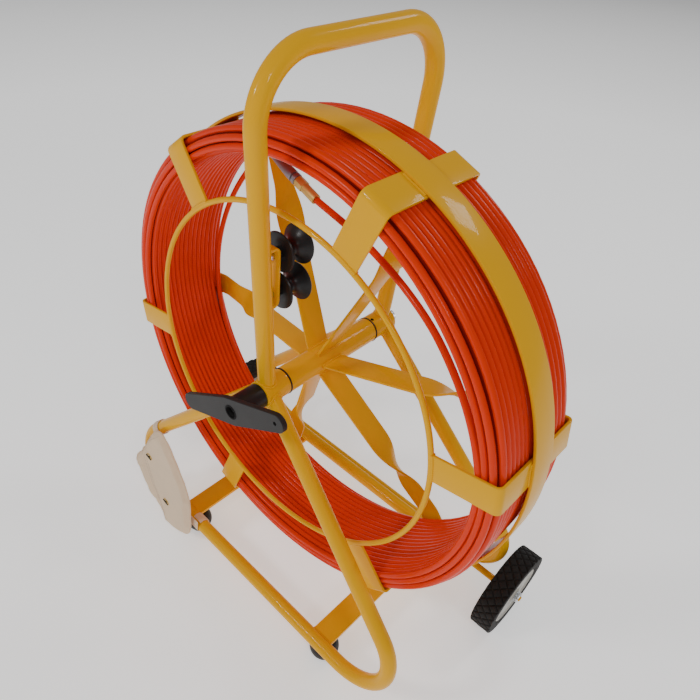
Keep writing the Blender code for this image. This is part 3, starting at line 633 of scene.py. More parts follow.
def band(stations: Sequence[tuple[Vector, Vector, Vector]], width: float, thick: float,
         edge: float, closed: bool = False) -> Form:
    """A flat bar with rounded edges.

    Args:
        stations: centre, width direction and thickness direction at each station.
        width: bar width.
        thick: bar thickness.
        edge: radius of its four edges.
        closed: the bar closes on itself.

    Returns:
        The bar.
    """
    half_w, half_t = width / 2, thick / 2
    outline = soften([(-half_w, -half_t), (half_w, -half_t), (half_w, half_t), (-half_w, half_t)],
                     edge, steps=2)
    return loft([[centre + wide * a + deep * b for a, b in outline]
                 for centre, wide, deep in stations], closed=closed)


def hexagon(half: float, height: float, sides: int = 24) -> Loop:
    """A hexagon as many points, so that it lofts to circles.

    Args:
        half: half the size across flats.
        height: height of the loop.
        sides: how many points it has.

    Returns:
        The loop.
    """
    out = []
    for k in range(sides):
        angle = math.tau * k / sides
        local = (angle + math.pi / 6) % (math.pi / 3) - math.pi / 6
        reach = half / math.cos(local)
        out.append(Vector((reach * math.cos(angle), reach * math.sin(angle), height)))
    return out


def chamfered_hex(half: float, low: float, high: float, bore: float | None, axis: Sequence[float],
                  at: Sequence[float]) -> Form:
    """A hexagon head or nut with turned chamfers.

    Args:
        half: half the size across flats.
        low: start along the axis.
        high: end along the axis.
        bore: radius of its hole, or None for a solid head.
        axis: direction.
        at: where the axis starts.

    Returns:
        The head or nut.
    """
    cut = half * 0.10
    loops = [ring_points(half * 0.96, low, 24), hexagon(half, low + cut), hexagon(half, high - cut),
             ring_points(half * 0.96, high, 24)]
    if bore is not None:
        loops += [ring_points(bore * 1.12, high, 24), ring_points(bore, high - cut, 24),
                  ring_points(bore, low + cut, 24), ring_points(bore * 1.12, low, 24)]
    return loft(loops, closed=bore is not None).moved(aim(axis, at))


def thread(radius: float, pitch: float, low: float, high: float, axis: Sequence[float],
           at: Sequence[float]) -> Form:
    """A screw thread as a run of fine ridges with chamfered ends.

    Args:
        radius: outside radius.
        pitch: distance from ridge to ridge.
        low: start along the axis.
        high: end along the axis.
        axis: direction.
        at: where the axis starts.

    Returns:
        The thread.
    """
    profile = [(radius * 0.80, low)]
    spot = low
    while spot < high - pitch:
        profile += [(radius * 0.93, spot + pitch * 0.1), (radius, spot + pitch * 0.45),
                    (radius, spot + pitch * 0.6)]
        spot += pitch
    profile.append((radius * 0.84, high))
    return lathe(profile, 32, axis, at)


def between(a: Vector, b: Vector, c: Vector, d: Vector, t: float) -> Vector:
    """A point from b to c on the smooth curve through four points."""
    return (b + (c - a) * (0.5 * t) + (a * 2 - b * 5 + c * 4 - d) * (0.5 * t * t)
            + (b * 3 - a - c * 3 + d) * (0.5 * t ** 3))


def spline(points: Sequence[Sequence[float]], t: float) -> Vector:
    """A smooth point at a fraction of a run of points.

    Args:
        points: what the curve passes through.
        t: fraction of the way from the first to the last.

    Returns:
        The point on the curve.
    """
    place = clamp(t) * (len(points) - 1)
    i = min(int(place), len(points) - 2)
    near = [Vector(points[min(max(i + k, 0), len(points) - 1)]) for k in (-1, 0, 1, 2)]
    return between(*near, place - i)


def polar(radius: float, degrees: float, y: float) -> Vector:
    """A point round the reel's axis."""
    angle = math.radians(degrees)
    return Vector((radius * math.cos(angle), y, radius * math.sin(angle)))


def spoke(degrees: float) -> tuple[Vector, Vector]:
    """Directions at an angle round the axle.

    Args:
        degrees: the angle.

    Returns:
        The outward direction, and the one across it in the reel's plane.
    """
    angle = math.radians(degrees)
    return (Vector((math.cos(angle), 0, math.sin(angle))),
            Vector((-math.sin(angle), 0, math.cos(angle))))


def raw_mesh(name: str, form: Form) -> bpy.types.Mesh:
    """A mesh of a form's points and faces.

    Args:
        name: the mesh's name.
        form: its points and faces.

    Returns:
        The new mesh.
    """
    mesh = bpy.data.meshes.new(name)
    mesh.from_pydata([tuple(v) for v in form.verts], [], form.faces)
    return mesh


def shade(mesh: bpy.types.Mesh, crease: float) -> None:
    """Shade a mesh smooth, with edges sharper than an angle in degrees kept."""
    mesh.polygons.foreach_set("use_smooth", [True] * len(mesh.polygons))
    mesh.set_sharp_from_angle(angle=math.radians(crease))


def put(name: str, data: bpy.types.ID, at: Sequence[float] = ORIGIN) -> bpy.types.Object:
    """Link a new object into the scene at a place.

    Args:
        name: the object's name.
        data: its mesh, light or camera.
        at: its place.

    Returns:
        The new object.
    """
    made = bpy.data.objects.new(name, data)
    made.location = at
    bpy.context.scene.collection.objects.link(made)
    return made


def settled(made: bpy.types.Object) -> bpy.types.Mesh:
    """The mesh that an object's modifiers make; the modifiers are then removed.

    Args:
        made: the object.

    Returns:
        The new mesh.
    """
    bpy.context.view_layer.update()
    graph = bpy.context.evaluated_depsgraph_get()
    mesh = bpy.data.meshes.new_from_object(made.evaluated_get(graph))
    made.modifiers.clear()
    return mesh


def piece(name: str, form: Form, finish: Finish, body: Body, replaces: Iterable[str] = (),
          crease: float = 35.0) -> bpy.types.Object:
    """Make a shown piece that rides on a body.

    Args:
        name: the piece's name.
        form: its shape in hub axes.
        finish: its finish.
        body: the body that carries it.
        replaces: CAD nodes that it stands for.
        crease: edges sharper than this many degrees stay sharp.

    Returns:
        The new object.
    """
    mesh = raw_mesh(name, form)
    mesh.validate()
    shade(mesh, crease)
    mesh.materials.append(finish.material())
    made = put(name, mesh, HUB)
    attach(made, body.value)
    if replaces:
        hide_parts(*replaces)
    LOG.info("%s: %d faces on %s", name, len(mesh.polygons), body.value)
    return made


def drill(made: bpy.types.Object, holes: Sequence[Form], crease: float,
          lining: Finish | None = None) -> None:
    """Cut holes through a piece and keep the result as its mesh.

    Args:
        made: the piece.
        holes: what is taken away, in hub axes.
        crease: edges sharper than this many degrees stay sharp.
        lining: finish of the holes' walls, or None for the piece's own.
    """
    tools = []
    for k, hole in enumerate(holes):
        mesh = raw_mesh(f"{made.name}_drill_{k}", hole)
        tools.append(put(mesh.name, mesh, HUB))
        step = made.modifiers.new(f"hole_{k}", "BOOLEAN")
        step.solver = "EXACT"
        step.object = tools[-1]
        if lining is not None:
            mesh.materials.append(lining.material())
            step.material_mode = "TRANSFER"
    cut = settled(made)
    shade(cut, crease)
    made.data = cut
    for tool in tools:
        bpy.data.objects.remove(tool)


def turned_ring(inner: float, outer: float, low: float, high: float, ease: float, sides: int,
                axis: Sequence[float] = Y_AXIS, at: Sequence[float] = ORIGIN) -> Form:
    """A turned ring, tube or washer with eased edges.

    Args:
        inner: bore radius.
        outer: outside radius.
        low: start along the axis.
        high: end along the axis.
        ease: rounding of its four edges.
        sides: facets round.
        axis: direction of its axis.
        at: where the axis starts.

    Returns:
        The ring.
    """
    section = soften([(inner, low), (outer, low), (outer, high), (inner, high)], ease)
    return lathe(section, sides, axis, at, hollow=True)


def bar_seam(x: float, y: float, z: float) -> list[Vector]:
    """A straight seam across a flat bar's width, along X."""
    return [Vector((x - FLAT_W / 2 + FLAT_W * t / SEAM_STEPS, y, z)) for t in range(SEAM_STEPS + 1)]


def weld(path: Sequence[Vector], size: float, closed: bool, seed: int) -> Form:
    """A painted weld bead: a lumpy round fillet along a seam.

    Args:
        path: the seam.
        size: mean radius of the bead.
        closed: the seam closes on itself.
        seed: sets where the lumps lie.

    Returns:
        The bead.
    """
    draw = random.Random(seed)
    phase = draw.uniform(0, 6)
    waves = sum((path[i] - path[i - 1]).length for i in range(1, len(path))) / WELD_RIPPLE

    def lumps(t: float) -> float:
        """Bead radius at a fraction of the seam."""
        return size * (1 + 0.10 * math.sin(math.tau * waves * t + phase)
                       + 0.06 * math.sin(math.tau * 3.3 * t + phase * 2))

    return tube(path, lumps, 8, closed)


def saddle(start: Vector, along: Vector, radius: float, target: float, count: int = 40) -> Loop:
    """Where a tube's surface meets a cylinder about the Y axis.

    Args:
        start: a point on the tube's centre line.
        along: the tube's direction, away from the cylinder.
        radius: the tube's radius.
        target: the cylinder's radius.
        count: points round the seam.

    Returns:
        The seam's points.
    """
    along = along.normalized()
    first = along.orthogonal().normalized()
    second = along.cross(first)
    out = []
    for k in range(count):
        angle = math.tau * k / count
        p = start + first * radius * math.cos(angle) + second * radius * math.sin(angle)
        a = along.x ** 2 + along.z ** 2
        b = 2 * (p.x * along.x + p.z * along.z)
        c = p.x ** 2 + p.z ** 2 - target ** 2
        root = max(b * b - 4 * a * c, 0.0)
        out.append(p + along * ((-b + math.sqrt(root)) / (2 * a)))
    return out


# ------------------------------------------------------------------ stand
@dataclass
class Stand:
    """The tubular stand: two leaning side frames, push bar, collars, base and axle."""

    frame_y: float = 0.035
    leg_y: float = 0.159
    rail_y: float = 0.2115
    rail_z: float = -0.543
    corner_x: float = 0.543
    leg_offset: float = 0.006
    base_bend: float = 0.110
    handle_z: float = 0.5566
    handle_half: float = 0.198
    handle_shift: float = 0.007
    handle_bend: float = 0.092
    cross_x: float = 0.227
    cross_t: float = 0.0095
    foot_y: float = -0.150
    foot_r: float = 0.033
    wheel_r: float = 0.105
    axle_half: float = 0.4782
    shoulder: float = 0.4181
    washer_at: float = 0.46567
    sleeve_half: float = 0.27339
    collar_near: tuple[float, float] = (-0.142175, -0.0864)
    collar_far: tuple[float, float] = (0.1535, 0.212175)

    def __post_init__(self) -> None:
        """Work out the sizes that follow."""
        self.near_y = self.frame_y - self.leg_y
        self.far_y = self.frame_y + self.leg_y
        self.tilt = math.atan2(self.rail_y - self.leg_y, -self.rail_z)
        self.rail_w = self.rail_z / math.cos(self.tilt)
        self.rail_near = self.frame_y - self.rail_y
        self.rail_far = self.frame_y + self.rail_y
        self.bar_top = self.rail_z + self.cross_t / 2
        self.axle_z = self.bar_top + TUBE_R + GAP
        self.axle_y = (self.rail_far - (self.axle_z - self.rail_z) * math.tan(self.tilt)
                       - (TUBE_R + 0.008 + GAP) / math.cos(self.tilt))
        self.floor_z = self.axle_z - self.wheel_r

    def place(self, y_hub: float, sign: int, x: float, w: float, lift: float = 0.0) -> Vector:
        """A point of a side frame's leaning plane.

        Args:
            y_hub: the plane's Y at the hub.
            sign: -1 for the near frame and 1 for the far one.
            x: along the rails.
            w: up the plane.
            lift: distance out of the plane, away from the reel.

        Returns:
            The point in hub axes.
        """
        sine, cosine = math.sin(self.tilt), math.cos(self.tilt)
        return Vector((x, y_hub - sign * w * sine + sign * lift * cosine, w * cosine + lift * sine))

    def upright_y(self, z: float) -> float:
        """Y of the near upright's centre line at a height."""
        top = self.frame_y + self.handle_shift - self.handle_half
        return self.near_y + (top - self.near_y) * z / self.handle_z

    def leg_point(self, distance: float) -> tuple[float, float]:
        """Point on the right leg's centre line, in its plane, at a distance from the hub.

        Args:
            distance: how far from the hub.

        Returns:
            X, and the height up the plane.
        """
        lean = math.asin(self.leg_offset / math.hypot(self.corner_x, self.rail_w))
        angle = math.atan2(-self.rail_w, self.corner_x) + lean
        return (self.leg_offset * math.sin(angle) + distance * math.cos(angle),
                self.leg_offset * math.cos(angle) - distance * math.sin(angle))

    def side(self, label: str, y_hub: float, sign: int) -> None:
        """One side frame with its weld seams at the collar.

        Args:
            label: near or far.
            y_hub: the frame's Y at the hub.
            sign: -1 for the near frame and 1 for the far one.
        """
        x, w = self.leg_point(TUBE_R - self.leg_offset + 0.001)
        corners = [(x, w), (self.corner_x, self.rail_w), (-self.corner_x, self.rail_w), (-x, w)]
        flat = arc_path(corners, self.base_bend, 22)
        path = [self.place(y_hub, sign, p[0], p[1]) for p in flat]
        piece(f"stand_side_{label}", tube(path, TUBE_R, 40), YELLOW, Body.STAND,
              [f"side_frame_{label}"])
        seams = Form()
        for k, (start, after) in enumerate(((path[0], path[1]), (path[-1], path[-2]))):
            seams.add(weld(saddle(start, after - start, TUBE_R, HUB_R), 0.0026, True, 7 + k))
        upright_top = Vector((0, (self.frame_y + self.handle_shift) + sign * self.handle_half,
                              self.handle_z))
        foot = Vector((0, y_hub, 0.004))
        seams.add(weld(saddle(foot, upright_top - foot, TUBE_R, HUB_R), 0.0026, True, 9))
        piece(f"collar_welds_{label}", seams, YELLOW, Body.STAND, crease=WELD_CREASE)

    def push_bar(self) -> None:
        """The upright loop that is pushed or lifted."""
        middle = self.frame_y + self.handle_shift
        flat = arc_path([(self.near_y, 0.012), (middle - self.handle_half, self.handle_z),
                         (middle + self.handle_half, self.handle_z), (self.far_y, 0.012)],
                        self.handle_bend, 20)
        path = [Vector((0, p[0], p[1])) for p in flat]
        piece("push_bar", tube(path, TUBE_R, 40), YELLOW, Body.STAND, ["handle_loop"])

    def collar(self, label: str, span: tuple[float, float], hole: tuple[float, float]) -> None:
        """A hub collar with its grease hole drilled through.

        Args:
            label: near or far.
            span: its two ends in Y.
            hole: the hole's angle in degrees, and its Y.
        """
        ring = turned_ring(SHAFT_R + GAP, HUB_R, *span, 0.0012, 72)
        made = piece(f"collar_{label}", ring, YELLOW, Body.STAND, [f"hub_collar_{label}"])
        angle, y = hole
        out = polar(1.0, angle, 0.0)
        bore = lathe([(0.0034, 0.0), (0.0034, 0.014)], 24, out,
                     out * (SHAFT_R + 0.002) + Vector((0, y, 0)))
        # The hole's walls take the near-black finish: painted shade inside the hole.
        drill(made, [bore], 35.0, SHADE_AND_DARK_RING)

    def cross_flat(self, side: Side) -> None:
        """A flat cross bar with its welds, and the ball foot under its near end.

        Args:
            side: left or right.
        """
        label = side.label
        x = side.value * self.cross_x
        start, end = self.rail_near + TUBE_R * 0.93, self.rail_far - TUBE_R * 0.93
        stations = [(Vector((x, y, self.rail_z)), Vector(X_AXIS), Vector(Z_AXIS))
                    for y in (start, end)]
        flat = band(stations, FLAT_W, self.cross_t, 0.0012)
        piece(f"cross_flat_{label}", flat, YELLOW, Body.STAND, [f"cross_bar_{label}"])
        seams = Form()
        for k, y in enumerate((self.rail_near + TUBE_R * 0.97, self.rail_far - TUBE_R * 0.97)):
            for z in (self.bar_top, self.rail_z - self.cross_t / 2):
                seams.add(weld(bar_seam(x, y, z), 0.0022, False, 30 + k))
        piece(f"cross_welds_{label}", seams, YELLOW, Body.STAND, crease=WELD_CREASE)
        self.foot(label, x)

    def foot(self, label: str, x: float) -> None:
        """A moulded rubber ball foot with its neck.

        Args:
            label: left or right.
            x: its X.
        """
        base = self.rail_z - self.cross_t / 2
        low = self.floor_z - base
        middle = low + self.foot_r
        profile = [(0.0005, low), (self.foot_r * 0.60, low)]
        for k in range(17):
            angle = math.radians(-50 + k * 7.6)
            profile.append((self.foot_r * math.cos(angle), middle + self.foot_r * math.sin(angle)))
        profile += [(0.0135, -0.0105), (0.0118, -0.006), (0.0115, -0.0012), (0.0108, -GAP),
                    (0.0005, -GAP)]
        piece(f"ball_foot_{label}", lathe(profile, 48, at=(x, self.foot_y, base)), FOOT, Body.STAND,
              [f"foot_{label}", f"foot_stud_{label}"])

    def axle(self) -> None:
        """Axle tube on the cross bars with the painted axle in it, washers and nuts."""
        at = Vector((0, self.axle_y, self.axle_z))
        half = self.sleeve_half
        sleeve = turned_ring(0.0083, TUBE_R, -half, half, 0.001, 40, X_AXIS, at)
        piece("axle_tube", sleeve, YELLOW, Body.STAND, ["axle_sleeve"])
        seams = Form()
        for x in (-self.cross_x, self.cross_x):
            for side in (-1, 1):
                line = bar_seam(x, self.axle_y + side * 0.0075, self.bar_top + 0.0012)
                seams.add(weld(line, 0.0024, False, 51))
        piece("axle_welds", seams, YELLOW, Body.STAND, crease=WELD_CREASE)
        shoulder, tip = self.shoulder, self.axle_half
        rod = [(0.0050, -tip), (0.0061, -tip + 0.0012), (0.00635, -shoulder), (0.0078, -shoulder),
               (0.008, -shoulder + 0.0006), (0.008, shoulder - 0.0006), (0.0078, shoulder),
               (0.00635, shoulder), (0.0061, tip - 0.0012), (0.0050, tip)]
        piece("axle_rod", lathe(rod, 32, X_AXIS, at), YELLOW, Body.STAND, ["wheel_axle"])
        for side in Side:
            label = side.label
            out = (side.value, 0, 0)
            first = self.washer_at
            washer = turned_ring(0.0067, 0.0140, first, first + 0.0018, 0.0003, 40, out, at)
            piece(f"outer_washer_{label}", washer, ZINC, Body.STAND, [f"wheel_washer_{label}"])
            nut = chamfered_hex(0.0110, first + 0.0021, first + 0.0096, 0.0066, out, at)
            piece(f"outer_nut_{label}", nut, ZINC, Body.STAND, [f"axle_nut_{label}"])

    def shaft(self) -> None:
        """The reel's shaft, its far nut and the two thrust washers."""
        near, far = -0.199, self.collar_far[1] + 0.020
        start = self.collar_near[0] + 0.001
        core = lathe([(SHAFT_R, start), (SHAFT_R, self.collar_far[1] - 0.001)], 48, Y_AXIS)
        core.add(thread(0.0095, 0.0021, near, start, Y_AXIS, ORIGIN))
        core.add(thread(0.0095, 0.0021, -far, -self.collar_far[1] + 0.001, (0, -1, 0), ORIGIN))
        piece("main_shaft", core, TURNED, Body.STAND, ["reel_shaft"])
        first = self.collar_far[1] + GAP
        nut = chamfered_hex(0.0145, first, first + 0.015, 0.0100, Y_AXIS, ORIGIN)
        piece("far_nut", nut, ZINC, Body.STAND, ["shaft_nut"])
        for label, start in (("near", -0.0861), ("far", 0.1508)):
            ring = turned_ring(0.0130, 0.0264, start, start + 0.0024, 0.0005, 64)
            piece(f"thrust_washer_{label}", ring, BLACK, Body.STAND, [f"hub_washer_{label}"])

    def build(self) -> None:
        """Make the whole stand."""
        self.side("near", self.near_y, -1)
        self.side("far", self.far_y, 1)
        self.push_bar()
        self.collar("near", self.collar_near, (137.0, -0.122))
        self.collar("far", self.collar_far, (79.5, 0.1582))
        for side in Side:
            self.cross_flat(side)
        self.axle()
        self.shaft()


# ------------------------------------------------------------------ wheels
@dataclass
class Wheel:
    """A plain-bearing wheel: pressed grey disc and a solid tyre with a diamond tread."""

    side: Side
    centre: Vector
    radius: float = 0.105
    width: float = 0.048
    rim_r: float = 0.0715
    block: float = 0.0228
    groove: float = 0.0026
    groove_depth: float = 0.0030
    facets: int = 432

    def body(self) -> Body:
        """The body that turns with this wheel."""
        return Body.WHEEL_LEFT if self.side is Side.LEFT else Body.WHEEL_RIGHT

    def tread(self, angle: float, across: float) -> float:
        """Depth of the diamond grooves at a place on the tread.

        Args:
            angle: angle round the wheel, in radians.
            across: distance from the tread's middle.

        Returns:
            The depth.
        """
        run = angle * self.radius
        deep = 0.0
        for slant in (-1, 1):
            count = round(math.tau * self.radius / self.block)
            pitch = math.tau * self.radius / count
            phase = ((run + slant * across * 0.95) / pitch + 0.5) % 1.0
            near = min(phase, 1 - phase) * pitch
            crown = 0.28 * (1 - min(near / (pitch * 0.42), 1.0)) ** 1.5
            deep = max(deep, 1 - min(near / self.groove, 1.0) ** 2, crown)
        return deep * self.groove_depth

    def tyre(self) -> Form:
        """The tyre with its tread cut as real grooves.

        Returns:
            The tyre in hub axes.
        """
        around, half = self.facets, self.width / 2
        seat = self.rim_r
        skirt = [(seat, -0.0195), (0.0735, -0.0217), (0.0780, -0.0226), (0.0800, -half + 0.0002),
                 (0.0940, -half + 0.0001), (0.0955, -half + 0.0008), (0.0970, -half + 0.0001),
                 (0.1022, -half + 0.0001), (0.1036, -half + 0.0008)]
        tread = [(self.radius - 0.0004 * abs(t) ** 4, t * (half - 0.0016)) for t in
                 [-1 + 2 * k / 30 for k in range(31)]]
        profile = skirt + tread + [(r, -h) for r, h in reversed(skirt)]
        loops = []
        for k in range(around):
            angle = math.tau * k / around
            loop = []
            for radius, height in profile:
                if radius > self.radius - self.groove_depth:
                    radius -= self.tread(angle, height)
                loop.append(Vector((radius * math.cos(angle), radius * math.sin(angle), height)))
            loops.append(loop)
        return loft(loops, closed=True).moved(aim((self.side.value, 0, 0), self.centre))

    def build(self) -> None:
        """Make the tyre and the disc."""
        label = self.side.label
        out = (self.side.value, 0, 0)
        piece(f"tyre_{label}", self.tyre(), TYRE, self.body(), [f"wheel_tyre_{label}"], crease=50)
        half = self.width / 2
        hub = half - 0.001
        corners = [(0.0066, -half), (0.0165, -half), (0.0170, 0.0140), (0.0300, 0.0150),
                   (0.0600, 0.0160), (0.0625, -0.017), (0.0690, -0.0198), (0.0722, -0.0195),
                   (0.0722, 0.0222), (0.0705, 0.0229), (0.0685, 0.0224), (0.0660, 0.0203),
                   (0.0540, 0.0197), (0.0500, 0.0209), (0.0300, 0.0207), (0.0255, 0.0190),
                   (0.0200, 0.0196), (0.0175, hub), (0.0066, hub)]
        disc = lathe(soften(corners, 0.0016), 72, out, self.centre, hollow=True)
        piece(f"disc_{label}", disc, GREY, self.body(), [f"wheel_rim_{label}"])


# ------------------------------------------------------------------ guide rollers
@dataclass
class RollerGuide:
    """C-shaped bracket on the near upright with two waisted rollers on bolts."""

    stand: Stand
    x: float = -0.009
    heights: tuple[float, float] = (0.2665, 0.1979)
    radius: float = 0.0338
    waist: float = 0.014
    near: float = -0.09546
    far: float = -0.04846
    web_y: float = -0.10646
    span: tuple[float, float] = (0.1800, 0.2840)
    strap_w: float = 0.030
    strap_t: float = 0.005

    def bracket(self) -> None:
        """The bent strap and its welds to the upright."""
        low, high = self.span
        ends = [self.stand.upright_y(z) + TUBE_R * 0.75 for z in (low, high)]
        flat = arc_path([(ends[0], low), (self.web_y, low), (self.web_y, high), (ends[1], high)],
                        0.009, 8)
        stations = []
        for i, point in enumerate(flat):
            along = (flat[min(i + 1, len(flat) - 1)] - flat[max(i - 1, 0)]).normalized()
            stations.append((Vector((self.x, point[0], point[1])), Vector(X_AXIS),
                             Vector((0, -along[1], along[0]))))
        strap = band(stations, self.strap_w, self.strap_t, 0.0009)
        piece("bracket_strap", strap, YELLOW, Body.STAND, ["roller_bracket"])
        seams = Form()
        half = self.strap_t / 2
        for k, z in enumerate((low - half, low + half, high - half, high + half)):
            line = []
            for t in range(19):
                x = max(self.x - self.strap_w / 2, -TUBE_R * 0.93) + 0.0205 * t / 18
                bulge = math.sqrt(max(TUBE_R ** 2 - x * x, 0))
                line.append(Vector((x, self.stand.upright_y(z) + bulge, z)))
            seams.add(weld(line, 0.0019, False, 60 + k))
        piece("bracket_welds", seams, YELLOW, Body.STAND, crease=WELD_CREASE)

    def roller(self, body: Body, z: float) -> None:
        """One roller with its bolt and nut.

        Args:
            body: the body that it turns with.
            z: height of its axis.
        """
        label = body.value.split("_")[1]
        start, end = self.web_y + self.strap_t / 2 + GAP, self.far + 0.003
        middle, half = (self.near + self.far) / 2, (self.far - self.near) / 2
        near, far, rim = self.near, self.far, self.radius
        profile = [(0.0053, start), (0.009, start), (0.009, near + 0.001), (0.0150, near),
                   (rim - 0.003, near), (rim - 0.001, near + 0.0008), (rim, near + 0.0028)]
        for k in range(1, 32):
            t = -1 + k / 16
            r = self.waist + (self.radius - self.waist) * abs(t) ** 2.1
            profile.append((r - 0.0004 * abs(t), middle + (half - 0.0034) * t))
        profile += [(rim, far - 0.0028), (rim - 0.001, far - 0.0008), (rim - 0.003, far),
                    (0.0150, far), (0.009, far - 0.001), (0.009, end), (0.0053, end)]
        at = (self.x, 0, z)
        waisted = lathe(profile, 56, Y_AXIS, at, hollow=True)
        piece(f"roller_{label}_waisted", waisted, BLACK, body, [f"guide_roller_{label}"])
        back = self.web_y - self.strap_t / 2 - GAP
        bolt = chamfered_hex(0.0075, back - 0.0063, back, None, Y_AXIS, at)
        bolt.add(lathe([(0.005, back), (0.005, end + 0.004)], 28, Y_AXIS, at))
        bolt.add(thread(0.005, 0.0012, end + 0.003, end + 0.0103, Y_AXIS, at))
        piece(f"roller_screw_{label}", bolt, ZINC, Body.STAND, [f"roller_bolt_{label}"])
        nut = chamfered_hex(0.008, end + GAP, end + GAP + 0.008, 0.0053, Y_AXIS, at)
        piece(f"roller_locknut_{label}", nut, ZINC, Body.STAND, [f"roller_nut_{label}"])

    def build(self) -> None:
        """Make the bracket and both rollers."""
        self.bracket()
        for body, z in zip((Body.ROLLER_UPPER, Body.ROLLER_LOWER), self.heights):
            self.roller(body, z)


# ------------------------------------------------------------------ brake
@dataclass
class Brake:
    """Threaded barrel with the double-ended lever plate welded on its end."""

    inner: float = -0.142475
    outer: float = -0.198
    barrel_r: float = 0.0235
    thick: float = 0.0098
    reach: float = 0.1495
    shift: float = -0.0055
    mid_r: float = 0.0285
    end_r: float = 0.0175
    tilt: float = 27.0
    eye_r: float = 0.012
    hole_r: float = 0.0035
    hole_at: float = 0.124

    def __post_init__(self) -> None:
        """Work out the plate's two faces."""
        self.back = self.outer - GAP
        self.front = self.back - self.thick

    def outline(self, inset: float) -> list[tuple[float, float]]:
        """The lever's outline, set in from its edge.

        Args:
            inset: distance from the edge.

        Returns:
            The outline's points, along and across the lever.
        """
        far = self.reach - self.end_r
        spread = math.acos((self.mid_r - self.end_r) / far)
        points: list[Vector] = []
        for side in (0.0, math.pi):
            turn = Matrix.Rotation(side, 2)
            for k in range(17):
                angle = -spread + 2 * spread * k / 16
                size = self.end_r - inset
                points.append(turn @ Vector((far + size * math.cos(angle), size * math.sin(angle))))
            for k in range(1, 6):
                angle = spread + (math.pi - 2 * spread) * k / 6
                size = self.mid_r - inset
                points.append(turn @ Vector((size * math.cos(angle), size * math.sin(angle))))
        return [(p.x + self.shift, p.y) for p in points]

    def plate(self) -> Form:
        """The lever plate before its holes are cut, edges eased.

        Returns:
            The plate.
        """
        back, front = self.back, self.front
        layers = [(back, 0.0009), (back - 0.0009, 0.0), (front + 0.0009, 0.0), (front, 0.0009)]
        turn = math.radians(self.tilt)
        loops = []
        for y, inset in layers:
            loops.append([Vector((x * math.cos(turn) - z * math.sin(turn), y,
                                  x * math.sin(turn) + z * math.cos(turn)))
                          for x, z in self.outline(inset)])
        return loft(loops)

    def drilled(self, made: bpy.types.Object) -> None:
        """Cut the eye and the small hole through the plate.

        Args:
            made: the plate.
        """
        turn = math.radians(self.tilt)
        spot = (self.hole_at * math.cos(turn), 0.0, self.hole_at * math.sin(turn))
        holes = []
        for radius, at in ((self.eye_r, ORIGIN), (self.hole_r, spot)):
            ease = radius * 0.16
            holes.append(lathe([(radius + ease, self.front - 0.0019), (radius + ease, self.front),
                                (radius, self.front + ease), (radius, self.back + 0.0013)],
                               48, Y_AXIS, at))
        drill(made, holes, 25.0)

    def build(self) -> None:
        """Make the barrel and the lever."""
        barrel = turned_ring(0.0098, self.barrel_r, self.outer, self.inner, 0.0018, 56)
        piece("lever_barrel", barrel, BLACK, Body.BRAKE, ["brake_barrel"])
        made = piece("lever_plate", self.plate(), LEVER, Body.BRAKE, ["brake_lever"], crease=25)
        self.drilled(made)
        bead = [polar(self.barrel_r + 0.0006, k * 7.5, self.outer + 0.0005) for k in range(48)]
        piece("lever_weld", weld(bead, 0.0021, True, 71), LEVER, Body.BRAKE, crease=WELD_CREASE)
        # A near-black bead round the eye's front edge: the dark ring round the eye.
        rim = [polar(self.eye_r + 0.0012, k * 7.5, self.front + 0.0006) for k in range(48)]
        piece("eye_weld", weld(rim, 0.0018, True, 73), SHADE_AND_DARK_RING, Body.BRAKE, crease=WELD_CREASE)


